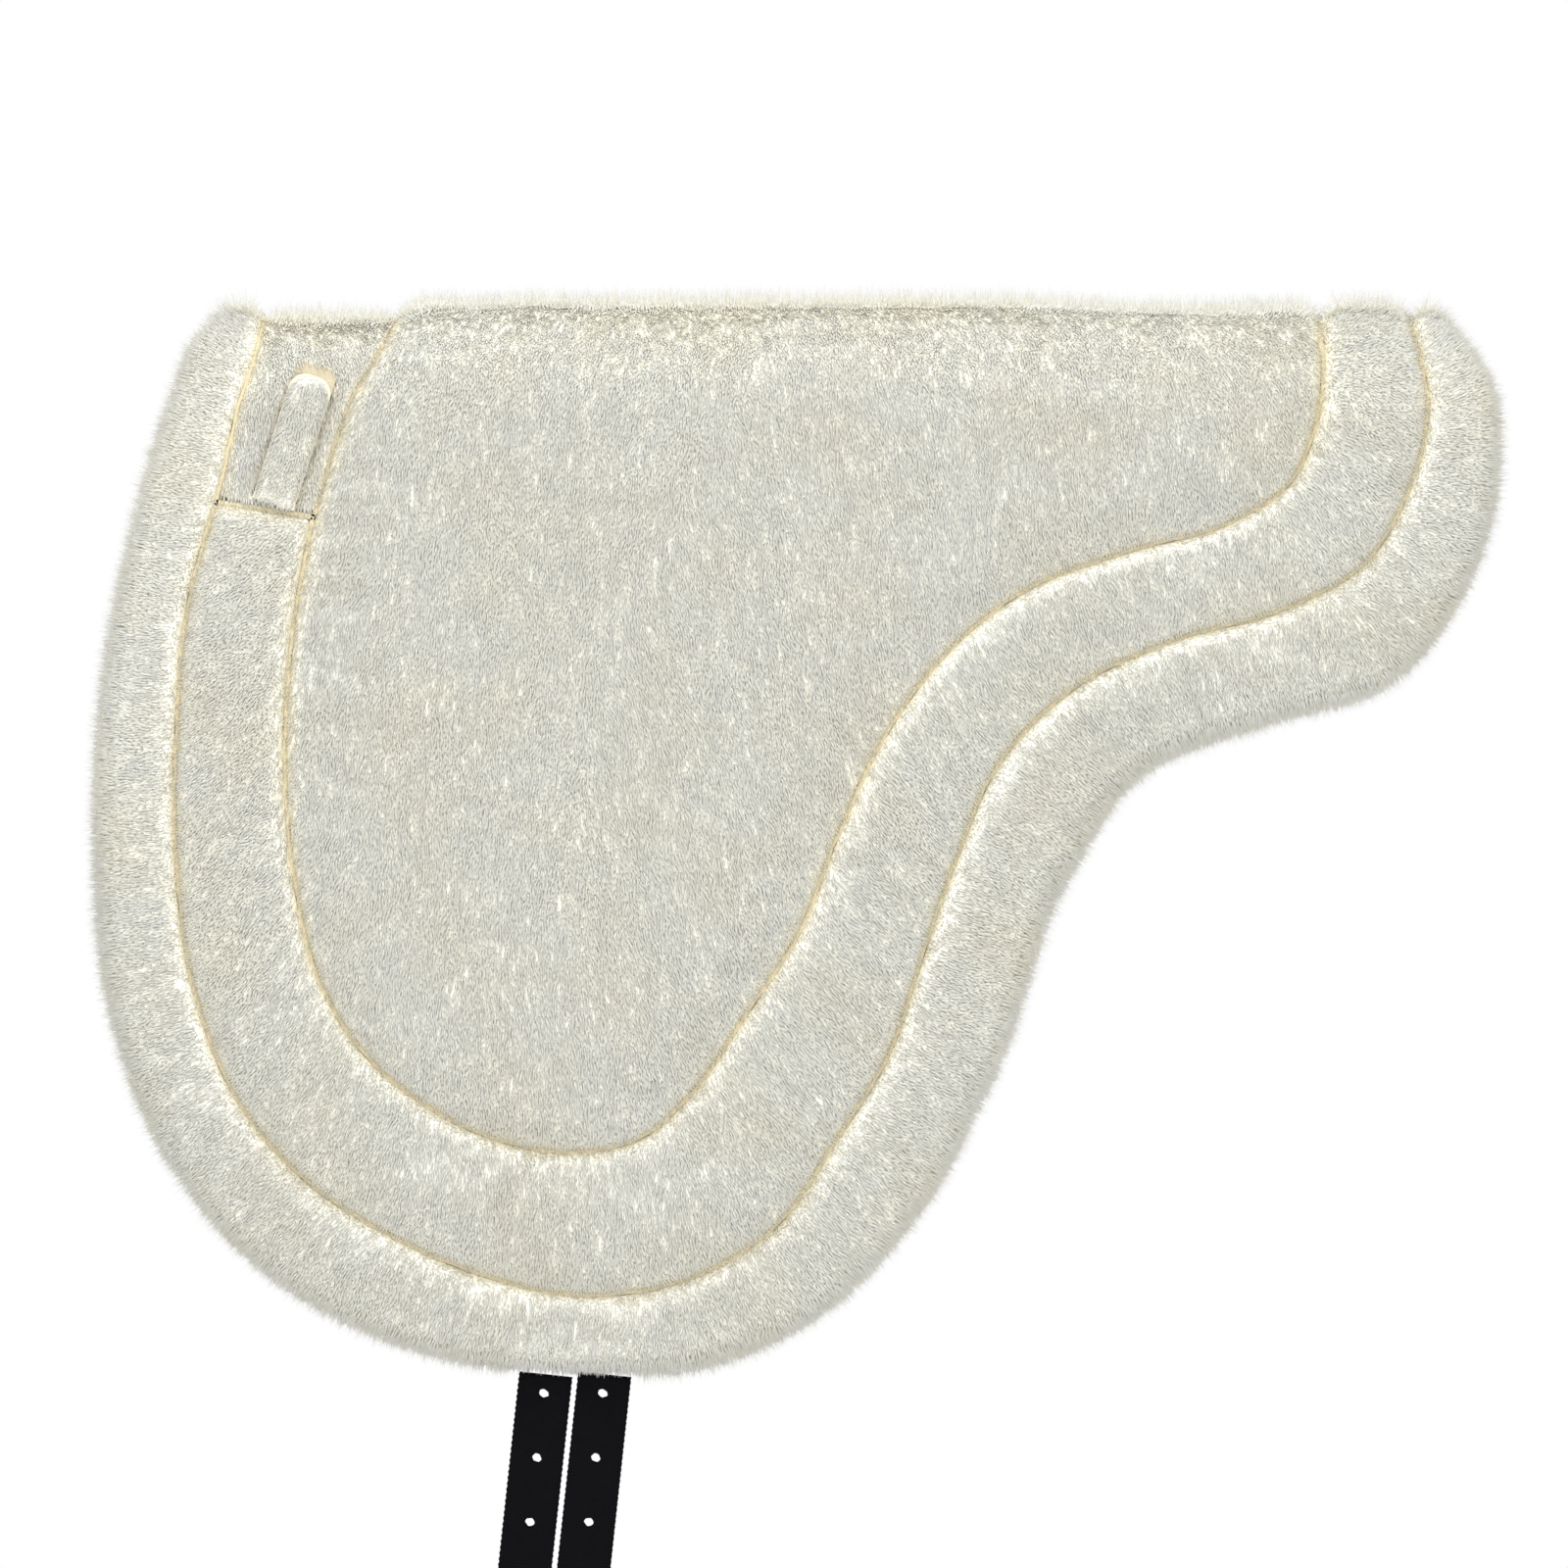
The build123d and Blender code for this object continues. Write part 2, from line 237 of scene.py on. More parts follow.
def solid(name, top, bottom, triangles, finish=None):
    """A closed piece from a sheet of points, the same sheet moved, and the walls between them."""
    directed = {(a, b) for t in triangles for a, b in zip(t, t[1:] + t[:1])}
    n = len(top)
    walls = [(b, a, a + n, b + n) for a, b in sorted(directed) if (b, a) not in directed]
    faces = list(triangles) + [tuple(i + n for i in reversed(t)) for t in triangles] + walls
    mesh = bpy.data.meshes.new(name)
    mesh.from_pydata(np.concatenate([top, bottom]).tolist(), [], faces)
    faced_outwards(mesh)
    mesh.polygons.foreach_set("use_smooth", [True] * len(mesh.polygons))
    if finish:
        mesh.materials.append(finish)
    piece = bpy.data.objects.new(name, mesh)
    bpy.context.collection.objects.link(piece)
    return piece


def both_faces(values):
    """The same values for the points of a sheet's outer face and of its inner face."""
    return np.concatenate([values, values])


def paint(piece, name, values):
    """A number or a direction for each point of a piece, which the pile and the finish read."""
    kind, field = ("FLOAT", "value") if values.ndim == 1 else ("FLOAT_VECTOR", "vector")
    made = piece.data.attributes.new(name, kind, "POINT")
    made.data.foreach_set(field, values.astype(np.float32).ravel())


def node(tree, kind, inputs=None, **settings):
    """A node whose inputs are given values or joined to other nodes' outputs."""
    made = tree.nodes.new(kind)
    for key, value in settings.items():
        setattr(made, key, value)
    for key, value in (inputs or {}).items():
        if isinstance(value, bpy.types.NodeSocket):
            tree.links.new(value, made.inputs[key])
        else:
            made.inputs[key].default_value = value
    return made


def vector_math(tree, operation, first, second):
    """The vector that comes of two vectors, or of a vector and a number when it scales."""
    slot = "Scale" if operation == "SCALE" else 1
    return node(tree, "ShaderNodeVectorMath", {0: first, slot: second}, operation=operation).outputs[0]


def number(tree, operation, first, second=0.0):
    """The number that comes of one or two numbers."""
    return node(tree, "ShaderNodeMath", {0: first, 1: second}, operation=operation).outputs[0]


def noise(tree, place, scale, detail):
    """A soft random number from place to place."""
    return node(tree, "ShaderNodeTexNoise", {"Vector": place, "Scale": scale, "Detail": detail}).outputs[0]


def mixed(tree, share, first, second):
    """A colour between two others."""
    return node(tree, "ShaderNodeMix", {0: share, 6: first, 7: second}, data_type="RGBA").outputs[2]


def sockets(tree, inputs, outputs):
    """The group's own inputs, each a name, a kind and a first value, and its outputs."""
    for name, kind, value in inputs:
        made = tree.interface.new_socket(name, in_out="INPUT", socket_type="NodeSocket" + kind)
        if value is not None:
            made.default_value = value
    for name, kind in outputs:
        tree.interface.new_socket(name, in_out="OUTPUT", socket_type="NodeSocket" + kind)
    return tree.nodes.new("NodeGroupInput").outputs, tree.nodes.new("NodeGroupOutput").inputs


def pile_tree():
    """Tufts of pile set over a piece. The piece's points say how close, how long and which way."""
    tree = bpy.data.node_groups.new("pile", "GeometryNodeTree")
    given, out = sockets(tree, [
        ("Geometry", "Geometry", None), ("Spacing", "Float", 0.0018), ("Length", "Float", 0.007),
        ("Width", "Float", 0.0022), ("Lean", "Float", 0.8), ("Clump", "Float", 0.007),
        ("Clump Lean", "Float", 2.0), ("Patch", "Float", 0.035), ("Patch Lean", "Float", 1.4),
        ("Jitter", "Float", 0.2), ("Bend", "Float", 0.3), ("Flatness", "Float", 0.45),
        ("Segments", "Int", 1), ("Seed", "Int", 0), ("Where", "String", "density"),
        ("Finish", "Material", None),
    ], [("Geometry", "Geometry")])

    def painted(name, kind="FLOAT"):
        """What is painted on the piece's points."""
        return node(tree, "GeometryNodeInputNamedAttribute", {"Name": name}, data_type=kind).outputs[0]

    def drift(size, strength):
        """A smooth wandering direction over distances of about size."""
        place = vector_math(tree, "SCALE", tree_position, number(tree, "DIVIDE", 1.0, size))
        wander = node(tree, "ShaderNodeTexNoise", {"Vector": place, "Scale": 1.0, "Detail": 1.0})
        centred = vector_math(tree, "SUBTRACT", wander.outputs["Color"], (0.5, 0.5, 0.5))
        return vector_math(tree, "SCALE", centred, strength)

    def chance(low, high, seed):
        """A number for each tuft between low and high."""
        given_to = {"Min": low, "Max": high, "Seed": seed}
        return node(tree, "FunctionNodeRandomValue", given_to, data_type="FLOAT").outputs[1]

    tree_position = node(tree, "GeometryNodeInputPosition").outputs[0]
    crowding = number(tree, "DIVIDE", 2.0, number(tree, "MULTIPLY", given["Spacing"], given["Spacing"]))
    roots = node(tree, "GeometryNodeDistributePointsOnFaces", {
        "Mesh": given["Geometry"], "Distance Min": given["Spacing"], "Density Max": crowding,
        "Density Factor": painted(given["Where"]), "Seed": given["Seed"],
    }, distribute_method="POISSON")
    way = vector_math(tree, "ADD", roots.outputs["Normal"],
                      vector_math(tree, "SCALE", painted("lay", "FLOAT_VECTOR"), given["Lean"]))
    way = vector_math(tree, "ADD", way, drift(given["Clump"], given["Clump Lean"]))
    way = vector_math(tree, "ADD", way, drift(given["Patch"], given["Patch Lean"]))
    shake = node(tree, "FunctionNodeRandomValue", {
        "Min": (-1.0, -1.0, -1.0), "Max": (1.0, 1.0, 1.0), "Seed": given["Seed"],
    }, data_type="FLOAT_VECTOR").outputs[0]
    way = vector_math(tree, "ADD", way, vector_math(tree, "SCALE", shake, given["Jitter"]))
    aimed = node(tree, "FunctionNodeAlignRotationToVector", {"Vector": way}, axis="Z").outputs[0]
    inward = vector_math(tree, "SCALE", roots.outputs["Normal"], -1.0)
    flat_up = node(tree, "FunctionNodeAlignRotationToVector", {"Rotation": aimed, "Vector": inward},
                   axis="X", pivot_axis="Z").outputs[0]
    spun = node(tree, "FunctionNodeAxisAngleToRotation", {
        "Axis": (0.0, 0.0, 1.0), "Angle": chance(-0.5, 0.5, 11),
    }).outputs[0]
    turned = node(tree, "FunctionNodeRotateRotation", {"Rotation": flat_up, "Rotate By": spun},
                  rotation_space="LOCAL").outputs[0]

    cone = node(tree, "GeometryNodeMeshCone", {
        "Vertices": 3, "Side Segments": given["Segments"], "Radius Top": 0.0, "Radius Bottom": 0.5,
        "Depth": 1.0,
    }, fill_type="NGON").outputs[0]
    split = node(tree, "ShaderNodeSeparateXYZ", {0: tree_position}).outputs
    fuller = number(tree, "ADD", 1.0, number(tree, "MULTIPLY", 0.75, number(
        tree, "SINE", number(tree, "MULTIPLY", split["Z"], math.pi))))
    bent = number(tree, "MULTIPLY", number(tree, "POWER", split["Z"], 2.0), given["Bend"])
    lock_place = node(tree, "ShaderNodeCombineXYZ", {
        "X": number(tree, "ADD", number(tree, "MULTIPLY", split["X"], fuller), bent),
        "Y": number(tree, "MULTIPLY", split["Y"], fuller),
        "Z": number(tree, "SUBTRACT", split["Z"], 0.08),
    }).outputs[0]
    lock = node(tree, "GeometryNodeStoreNamedAttribute", {
        "Geometry": cone, "Name": "rise", "Value": split["Z"],
    }, data_type="FLOAT", domain="POINT").outputs[0]
    lock = node(tree, "GeometryNodeSetPosition", {"Geometry": lock, "Position": lock_place}).outputs[0]

    girth = number(tree, "MULTIPLY", given["Width"], chance(0.75, 1.3, 12))
    reach = number(tree, "MULTIPLY", number(tree, "MULTIPLY", given["Length"], painted("length")),
                   chance(0.75, 1.2, 13))
    depth = number(tree, "MULTIPLY", girth, given["Flatness"])
    size = node(tree, "ShaderNodeCombineXYZ", {"X": depth, "Y": girth, "Z": reach}).outputs[0]
    tufts = node(tree, "GeometryNodeInstanceOnPoints", {
        "Points": roots.outputs["Points"], "Instance": lock, "Rotation": turned, "Scale": size,
    }).outputs[0]
    tufts = node(tree, "GeometryNodeStoreNamedAttribute", {
        "Geometry": tufts, "Name": "tone", "Value": chance(0.0, 1.0, 14),
    }, data_type="FLOAT", domain="INSTANCE").outputs[0]
    real = node(tree, "GeometryNodeRealizeInstances", {"Geometry": tufts}).outputs[0]
    for name in ("density", "length", "lay", "fringe"):
        real = node(tree, "GeometryNodeRemoveAttribute", {"Geometry": real, "Name": name}).outputs[0]
    real = node(tree, "GeometryNodeSetMaterial", {"Geometry": real, "Material": given["Finish"]}).outputs[0]
    both = node(tree, "GeometryNodeJoinGeometry")
    tree.links.new(real, both.inputs[0])
    tree.links.new(given["Geometry"], both.inputs[0])
    smooth = node(tree, "GeometryNodeSetShadeSmooth", {"Geometry": both.outputs[0]}).outputs[0]
    tree.links.new(smooth, out["Geometry"])
    return tree


PILE = pile_tree()


def grown(piece, tree, **inputs):
    """A piece with a tree's work made part of its mesh. Inputs are the tree's, by their names."""
    modifier = piece.modifiers.new(tree.name, "NODES")
    modifier.node_group = tree
    wanted = {key.replace("_", " "): value for key, value in inputs.items()}
    for item in tree.interface.items_tree:
        if item.item_type == "SOCKET" and item.in_out == "INPUT" and item.name in wanted:
            modifier[item.identifier] = wanted[item.name]
    ready = piece.evaluated_get(bpy.context.evaluated_depsgraph_get())
    mesh = bpy.data.meshes.new_from_object(ready)
    piece.modifiers.remove(modifier)
    piece.data = mesh
    return piece


def fibre_tone():
    """The colour of fleece, uneven from tuft to tuft and patch to patch, with painted shade that makes it
    deeper at the roots.
    """
    tree = bpy.data.node_groups.new("fibre_tone", "ShaderNodeTree")
    given, out = sockets(tree, [
        ("Root", "Color", (0.6, 0.5, 0.3, 1)), ("Tip", "Color", (0.8, 0.8, 0.7, 1)),
        ("Patch Colour", "Color", (0.8, 0.75, 0.6, 1)), ("Patch Size", "Float", 0.03),
        ("Unevenness", "Float", 0.06), ("Backing", "Color", (0.83, 0.75, 0.54, 1)),
    ], [("Color", "Color"), ("Height", "Float")])
    place = node(tree, "ShaderNodeTexCoord").outputs["Object"]
    rise = node(tree, "ShaderNodeAttribute", attribute_name="rise").outputs["Fac"]
    tone = node(tree, "ShaderNodeAttribute", attribute_name="tone").outputs["Fac"]
    patches = vector_math(tree, "SCALE", place, number(tree, "DIVIDE", 1.0, given["Patch Size"]))
    clouds = noise(tree, patches, 1.0, 2.0)
    clouds = node(tree, "ShaderNodeMapRange", {0: clouds, 1: 0.42, 2: 0.68}).outputs[0]
    base = mixed(tree, clouds, given["Tip"], given["Patch Colour"])
    # Painted shade: the roots of the tufts, and the bare skin between them, take the darker, warmer root
    # colour, as if the deep pile were in shade.
    shade = mixed(tree, number(tree, "POWER", rise, 0.6), given["Root"], base)
    change = number(tree, "ADD", 1.0, number(
        tree, "MULTIPLY", number(tree, "SUBTRACT", tone, 0.5), given["Unevenness"]))
    # Painted shade and light bounced off the tan backing: where the backing attribute is painted, near the
    # seams and beside and under the tab, the fleece turns tan. Past the tab's tip, where the bare backing
    # shows, the tan is its own colour.
    tan_shade_and_backing = node(tree, "ShaderNodeAttribute", attribute_name="backing").outputs["Fac"]
    shade = mixed(tree, number(tree, "MULTIPLY", tan_shade_and_backing, 0.75), shade, given["Backing"])
    tree.links.new(vector_math(tree, "SCALE", shade, change), out["Color"])
    tree.links.new(noise(tree, place, 900.0, 2.0), out["Height"])
    return tree


FIBRE_TONE = fibre_tone()


def new_finish(name):
    """A new material, its tree of nodes and its shader."""
    made = bpy.data.materials.new(name)
    made.use_nodes = True
    return made, made.node_tree, made.node_tree.nodes["Principled BSDF"]


def bumped(tree, shader, height, strength, distance):
    """Gives a shader a fine relief."""
    bump = node(tree, "ShaderNodeBump", {"Height": height, "Strength": strength, "Distance": distance})
    tree.links.new(bump.outputs[0], shader.inputs["Normal"])


def fleece(name, root, tip, patch_colour, patch_size, unevenness, sheen):
    """A fleece finish: matt fibres with a soft sheen at the edges."""
    made, tree, shader = new_finish(name)
    tones = node(tree, "ShaderNodeGroup", node_tree=FIBRE_TONE)
    for key, value in (("Root", root), ("Tip", tip), ("Patch Colour", patch_colour),
                       ("Patch Size", patch_size), ("Unevenness", unevenness)):
        tones.inputs[key].default_value = value
    tree.links.new(tones.outputs["Color"], shader.inputs["Base Color"])
    bumped(tree, shader, tones.outputs["Height"], 0.15, 0.0003)
    shader.inputs["Roughness"].default_value = 0.92
    shader.inputs["Specular IOR Level"].default_value = 0.2
    shader.inputs["Sheen Weight"].default_value = sheen
    shader.inputs["Sheen Roughness"].default_value = 0.45
    shader.inputs["Sheen Tint"].default_value = (1.0, 0.99, 0.95, 1)
    return made


lining_finish = fleece("lining_fleece", (0.86, 0.81, 0.68, 1), (0.88, 0.86, 0.77, 1), (0.87, 0.83, 0.71, 1),
                       0.04, 0.06, 0.2)
edge_line = cut_line(EDGE)
EDGE_INSET = 0.0022  # the pile stands out this far past the cloth it is knitted into
LINING_UNDER, LINING_ROLL = 0.0032, 0.002  # the underside's level at the edge, and how far it bulges
LINING_SPACING, LINING_PILE, LINING_WIDTH = 0.0030, 0.0040, 0.0050
CLEAR = 0.0002  # between a layer and the one under it


def sides():
    """The near side and the off side, with the sign of each one's Y."""
    return (("near", 1), ("off", -1))


def mirrored(points, sign):
    """Points of the near side as they are, or as their mirror image on the off side."""
    return points * np.array([1, sign, 1])


def hang(piece, side, slot_name, *nodes):
    """A sewn layer of one side: hides the CAD parts that it stands for and bakes its placement into its
    mesh.
    """
    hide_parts(*nodes)
    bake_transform(piece)


def lay_over(plan, toward, level):
    """Directions along the folded cloth, from directions on its flat cut."""
    small = 1e-4
    here = folded(plan[:, 0], plan[:, 1], level)
    there = folded(plan[:, 0] + toward[:, 0] * small, plan[:, 1] + toward[:, 1] * small, level)
    return (there - here) / small


lining_rows, lining_faces = cut_piece(inset(edge_line, EDGE_INSET)[::4], 0.006)
for side, sign in sides():
    x, s = lining_rows.T
    rim_near = np.clip(nearest(lining_rows, edge_line)[0] - EDGE_INSET, 0, 0.004) / 0.004
    top = folded(x, s, np.full(len(x), LINING))
    under = folded(x, s, LINING_UNDER - LINING_ROLL * np.sqrt(rim_near))
    piece = solid(side + "_underside", mirrored(top, sign), mirrored(under, sign), lining_faces,
                  lining_finish)
    below = np.concatenate([np.zeros(len(x)), np.ones(len(x))])
    paint(piece, "density", below)
    paint(piece, "length", np.ones(len(below)))
    down = lay_over(lining_rows, np.tile((0.2, 1.0), (len(x), 1)), 0.0)
    paint(piece, "lay", mirrored(both_faces(down), sign))
    grown(piece, PILE, Spacing=LINING_SPACING, Length=LINING_PILE, Width=LINING_WIDTH, Lean=1.5,
          Clump=0.012, Clump_Lean=1.5, Jitter=0.3, Seed=3 + sign, Finish=lining_finish)
    hang(piece, side, "lining_fleece", side + "_lining", "spine_lining")

# ==== Quilted covers ====
# Long cream plush is laid over foam and quilted to the lining along two lines, so that the seat, the
# band round it and the rim each stand up in a soft crown that the stitching pulls down.
OUTER_SEAM = [
    (-0.650, 0.000), (-0.665, 0.035), (-0.704, 0.099), (-0.735, 0.163), (-0.803, 0.274),
    (-0.829, 0.393), (-0.831, 0.512), (-0.792, 0.641), (-0.710, 0.737), (-0.567, 0.815),
    (-0.383, 0.869), (-0.178, 0.908), (0.014, 0.925), (0.119, 0.910), (0.214, 0.861),
    (0.277, 0.783), (0.335, 0.701), (0.366, 0.623), (0.408, 0.517), (0.456, 0.425),
    (0.529, 0.361), (0.634, 0.315), (0.761, 0.283), (0.845, 0.241), (0.892, 0.173),
    (0.913, 0.090), (0.903, 0.035), (0.895, 0.000),
]
INNER_SEAM = [
    (-0.372, 0.000), (-0.399, 0.026), (-0.461, 0.081), (-0.516, 0.154), (-0.563, 0.237),
    (-0.596, 0.338), (-0.604, 0.439), (-0.583, 0.540), (-0.536, 0.627), (-0.454, 0.691),
    (-0.322, 0.744), (-0.178, 0.777), (-0.014, 0.791), (0.072, 0.777), (0.124, 0.737),
    (0.182, 0.664), (0.240, 0.586), (0.282, 0.494), (0.335, 0.398), (0.403, 0.320),
    (0.487, 0.264), (0.592, 0.230), (0.703, 0.202), (0.766, 0.165), (0.794, 0.108),
    (0.801, 0.053), (0.799, 0.000),
]

SEAM_LEVEL, CROWN_LEVEL = 0.0165, 0.0212
PILE_LENGTH = 0.0062
ROLL = 0.016  # how far from a seam the crown reaches its height
SEAM_SIDE = 0.0011  # each cover starts this far from the middle of a seam
SEAM_SHADE = 0.0025  # painted shade and light bounced off the backing tint the pile tan this far from a seam
EDGE_ROLL = 0.009  # the rim's cover turns down over this distance
CROSS_SEAM = ((-0.1655, 0.0915), (-0.1195, 0.0985))  # its ends on the outer and inner seams: x, drop
outer_line, inner_line = cut_line(OUTER_SEAM), cut_line(INNER_SEAM)
cross_ends = [np.array([x, float(fold_length(np.float64(drop)))]) for x, drop in CROSS_SEAM]
cross_line = evened(np.array(cross_ends), 0.001)
cross_outer, cross_inner = (int(nearest(end[None], line)[1][0])
                            for end, line in zip(cross_ends, (outer_line, inner_line)))
seam_points = np.concatenate([outer_line, inner_line, cross_line])

plush = fleece("plush", (0.95, 0.93, 0.83, 1), (0.96, 0.962, 0.92, 1), (0.96, 0.935, 0.83, 1),
               0.05, 0.02, 0.3)
# Painted shade: the long hairs on the outline are the same fibre as the plush, but take this darker, warmer
# copy of it.
plush_edge = fleece("plush_edge", (0.86, 0.82, 0.67, 1), (0.87, 0.85, 0.73, 1),
                    (0.87, 0.84, 0.69, 1), 0.05, 0.02, 0.3)


def crown(distance):
    """The level of the cover at a distance from the nearest seam."""
    up = np.clip(distance / ROLL, 0, 1)
    return SEAM_LEVEL + (CROWN_LEVEL - SEAM_LEVEL) * np.sqrt(1 - (1 - up) ** 2)


def puffed(piece, held, most, pressure, spare):
    """The padding pushes the cover out between its seams. Held points stay, none moves past most."""
    rest = np.array([v.co for v in piece.data.vertices])
    pins = piece.vertex_groups.new(name="stitched")
    pins.add(np.flatnonzero(held).tolist(), 1.0, "REPLACE")
    cloth = piece.modifiers.new("padding", "CLOTH")
    cloth.settings.use_pressure = True
    cloth.settings.uniform_pressure_force = pressure
    cloth.settings.vertex_group_mass = pins.name
    cloth.settings.shrink_min = -spare
    cloth.settings.effector_weights.gravity = 0.0
    cloth.collision_settings.use_collision = False
    cloth.point_cache.frame_start, cloth.point_cache.frame_end = 1, 20
    for step in range(1, 21):
        bpy.context.scene.frame_set(step)
    swollen = piece.evaluated_get(bpy.context.evaluated_depsgraph_get()).data
    moved = np.array([v.co for v in swollen.vertices]) - rest
    length = np.linalg.norm(moved, axis=1)[:, None]
    moved *= np.minimum(1, most / np.maximum(length, 1e-9))
    piece.modifiers.remove(cloth)
    piece.vertex_groups.remove(pins)
    bpy.context.scene.frame_set(1)
    piece.data.vertices.foreach_set("co", (rest + moved).astype(np.float32).ravel())


STANDING = 0.0035  # the pile stands upright on the crest and lies down over this distance
CREST_HAIRS = 0.014  # long hairs stand on the crest, ever fewer over this distance
HAIRLESS = 0.003  # no long hairs grow this near a seam
PILE_SPACING, PILE_WIDTH, PILE_FLATNESS = 0.00112, 0.0017, 0.3
HAIR_SPACING, HAIR_WIDTH, HAIR_LENGTH = 0.0009, 0.0004, 0.0095


def crest_length(s):
    """The pile is longest on the crest of the fold, where nothing presses it."""
    return 1 + 0.35 * np.clip(1 - s / 0.016, 0, 1)


def furred(piece, seed):
    """A cover with its lying pile, and long fine hairs where the light catches its outline, coloured with a
    darker copy of the plush as painted shade.
    """
    grown(piece, PILE, Spacing=PILE_SPACING, Length=PILE_LENGTH, Width=PILE_WIDTH, Flatness=PILE_FLATNESS,
          Lean=2.1, Clump_Lean=1.4, Patch_Lean=1.0, Jitter=0.12, Seed=seed, Finish=plush)
    return grown(piece, PILE, Where="fringe", Spacing=HAIR_SPACING, Length=HAIR_LENGTH, Width=HAIR_WIDTH,
                 Lean=0.25, Clump_Lean=1.2, Patch_Lean=0.5, Jitter=0.5, Seed=seed + 50, Finish=plush_edge)


STRAP_MIDDLE, STRAP_HALF = 0.0, 0.029  # the straps rub the hem here, and it has no long hairs
CREASES = (  # soft folds across the seat, where it bends over the spine: x, s, half length, turn
    (0.232, 0.058, 0.050, 0.10), (0.290, 0.047, 0.040, -0.06), (0.180, 0.070, 0.030, 0.2),
    (0.020, 0.120, 0.020, 0.05), (0.118, 0.040, 0.035, -0.04), (0.335, 0.030, 0.014, 0.9),
    (0.338, 0.040, 0.012, -0.7), (-0.005, 0.506, 0.014, 1.57),
)
HOLLOW = (0.280, 0.055, 0.018, 0.0030)  # the crest sags ahead of the cantle: x, half length, width, depth
CREASE_DEPTH, CREASE_WIDTH = 0.0014, 0.0045


def creased(plan):
    """How far the creases press the cover in at each point."""
    depth = np.zeros(len(plan))
    for x, s, half, turn in CREASES:
        off = plan - (x, s)
        along = off[:, 0] * math.cos(turn) + off[:, 1] * math.sin(turn)
        across = off[:, 1] * math.cos(turn) - off[:, 0] * math.sin(turn)
        depth += CREASE_DEPTH * np.exp(-(across / CREASE_WIDTH) ** 2 - (along / half) ** 4)
    x, half, width, sag = HOLLOW
    return depth + sag * np.exp(-((plan[:, 0] - x) / half) ** 4 - (plan[:, 1] / width) ** 2)


def quilted(name, outline, most):
    """A quilted channel laid flat: its closed form, plan points, distances to a seam and puffed shape."""
    plan, triangles = cut_piece(outline, 0.0042)
    flat_top = np.stack([plan[:, 0], -plan[:, 1], channel_level(plan)], axis=1)
    flat_under = np.stack([plan[:, 0], -plan[:, 1], np.full(len(plan), LINING + CLEAR)], axis=1)
    piece = solid(name, flat_top, flat_under, triangles, plush)
    to_seam = nearest(plan, seam_points)[0]
    to_outline = nearest(plan, outline)[0]
    held = np.concatenate([to_outline < 0.0008, np.ones(len(plan), bool)])
    puffed(piece, held, most, pressure=4.0, spare=0.008)
    swollen = np.array([v.co for v in piece.data.vertices]) * (1, -1, 1)
    return piece, plan, to_seam, swollen


def dressed(flat, plan, to_seam, swollen, outward, side, sign, seed):
    """One side's copy of a channel, folded over the spine, with its pile."""
    count = len(plan)
    piece = bpy.data.objects.new(f"{side}_{flat.name}", flat.data.copy())
    bpy.context.collection.objects.link(piece)
    level = swollen[:, 2].copy()
    level[:count] -= creased(plan)
    place = folded(swollen[:, 0], np.clip(swollen[:, 1], 0, None), level)
    piece.data.vertices.foreach_set("co", mirrored(place, sign).astype(np.float32).ravel())
    faced_outwards(piece.data)
    top = np.arange(2 * count) < count
    edge_near, edge_at = nearest(plan, edge_line)
    out = -across(edge_line)[edge_at]
    down = np.tile((0.1, 1.0), (count, 1))
    to, seam_at = nearest(plan, seam_points)
    over = (seam_points[seam_at] - plan) / np.maximum(to, 1e-4)[:, None]
    toward = out * outward + down * (1 - outward)
    toward *= np.clip(plan[:, 1] / STANDING, 0.1, 1)[:, None]
    near_crest = np.clip(1 - plan[:, 1] / 0.03, 0, 1)
    toward += over * ((0.28 + near_crest) * np.clip(1 - to / 0.005, 0, 1))[:, None]
    lay = lay_over(plan, toward, level[:count])
    paint(piece, "lay", mirrored(both_faces(lay), sign))
    paint(piece, "density", top.astype(float))
    short = (0.35 + 0.65 * np.clip(to_seam / 0.008, 0, 1)) * crest_length(plan[:, 1])
    # Painted shade and light bounced off the backing: the pile near a seam is tinted tan.
    tan_shade_and_backing = np.exp(-(to_seam / SEAM_SHADE) ** 2)
    paint(piece, "backing", both_faces(tan_shade_and_backing))
    edge = np.clip(1 - (edge_near - EDGE_INSET) / 0.009, 0, 1)
    hem = plan[:, 1] > edge_line[:, 1].max() - 0.02
    by_strap = hem & (np.abs(plan[:, 0] - STRAP_MIDDLE) < STRAP_HALF)
    edge *= ~by_strap
    short *= np.where(by_strap, 0.75, 1.0)
    paint(piece, "length", both_faces(short))
    crest = np.clip(1.3 - plan[:, 1] / CREST_HAIRS, 0, 1) * (to_seam > HAIRLESS)
    paint(piece, "fringe", np.concatenate([np.maximum(edge, crest), np.zeros(count)]))
    return furred(piece, seed)


inner_gap, outer_gap = inset(inner_line, SEAM_SIDE), inset(outer_line, SEAM_SIDE)
inner_far, outer_far = inset(inner_line, -SEAM_SIDE), inset(outer_line, -SEAM_SIDE)
channels = {  # each one's outline, how far its pile lies outwards, and the most that it is puffed
    "seat": (inner_gap, 0.15, 0.003),
    "band": (np.concatenate([outer_gap[cross_outer + 1:], inner_far[:cross_inner + 1:-1]]),
             0.55, 0.002),
    "rim": (np.concatenate([inset(edge_line, EDGE_INSET), outer_far[::-1]]), 0.95, 0.0015),
}


def channel_level(plan):
    """The top of each channel: a crown between seams, rolled down where it meets the edge."""
    level = crown(nearest(plan, seam_points)[0] - SEAM_SIDE)
    from_edge = nearest(plan, edge_line)[0] - EDGE_INSET
    roll = np.sqrt(np.clip(1 - (1 - np.clip(from_edge / EDGE_ROLL, 0, 1)) ** 2, 0, 1))
    return np.minimum(level, LINING + 0.001 + (CROWN_LEVEL - LINING - 0.001) * roll)


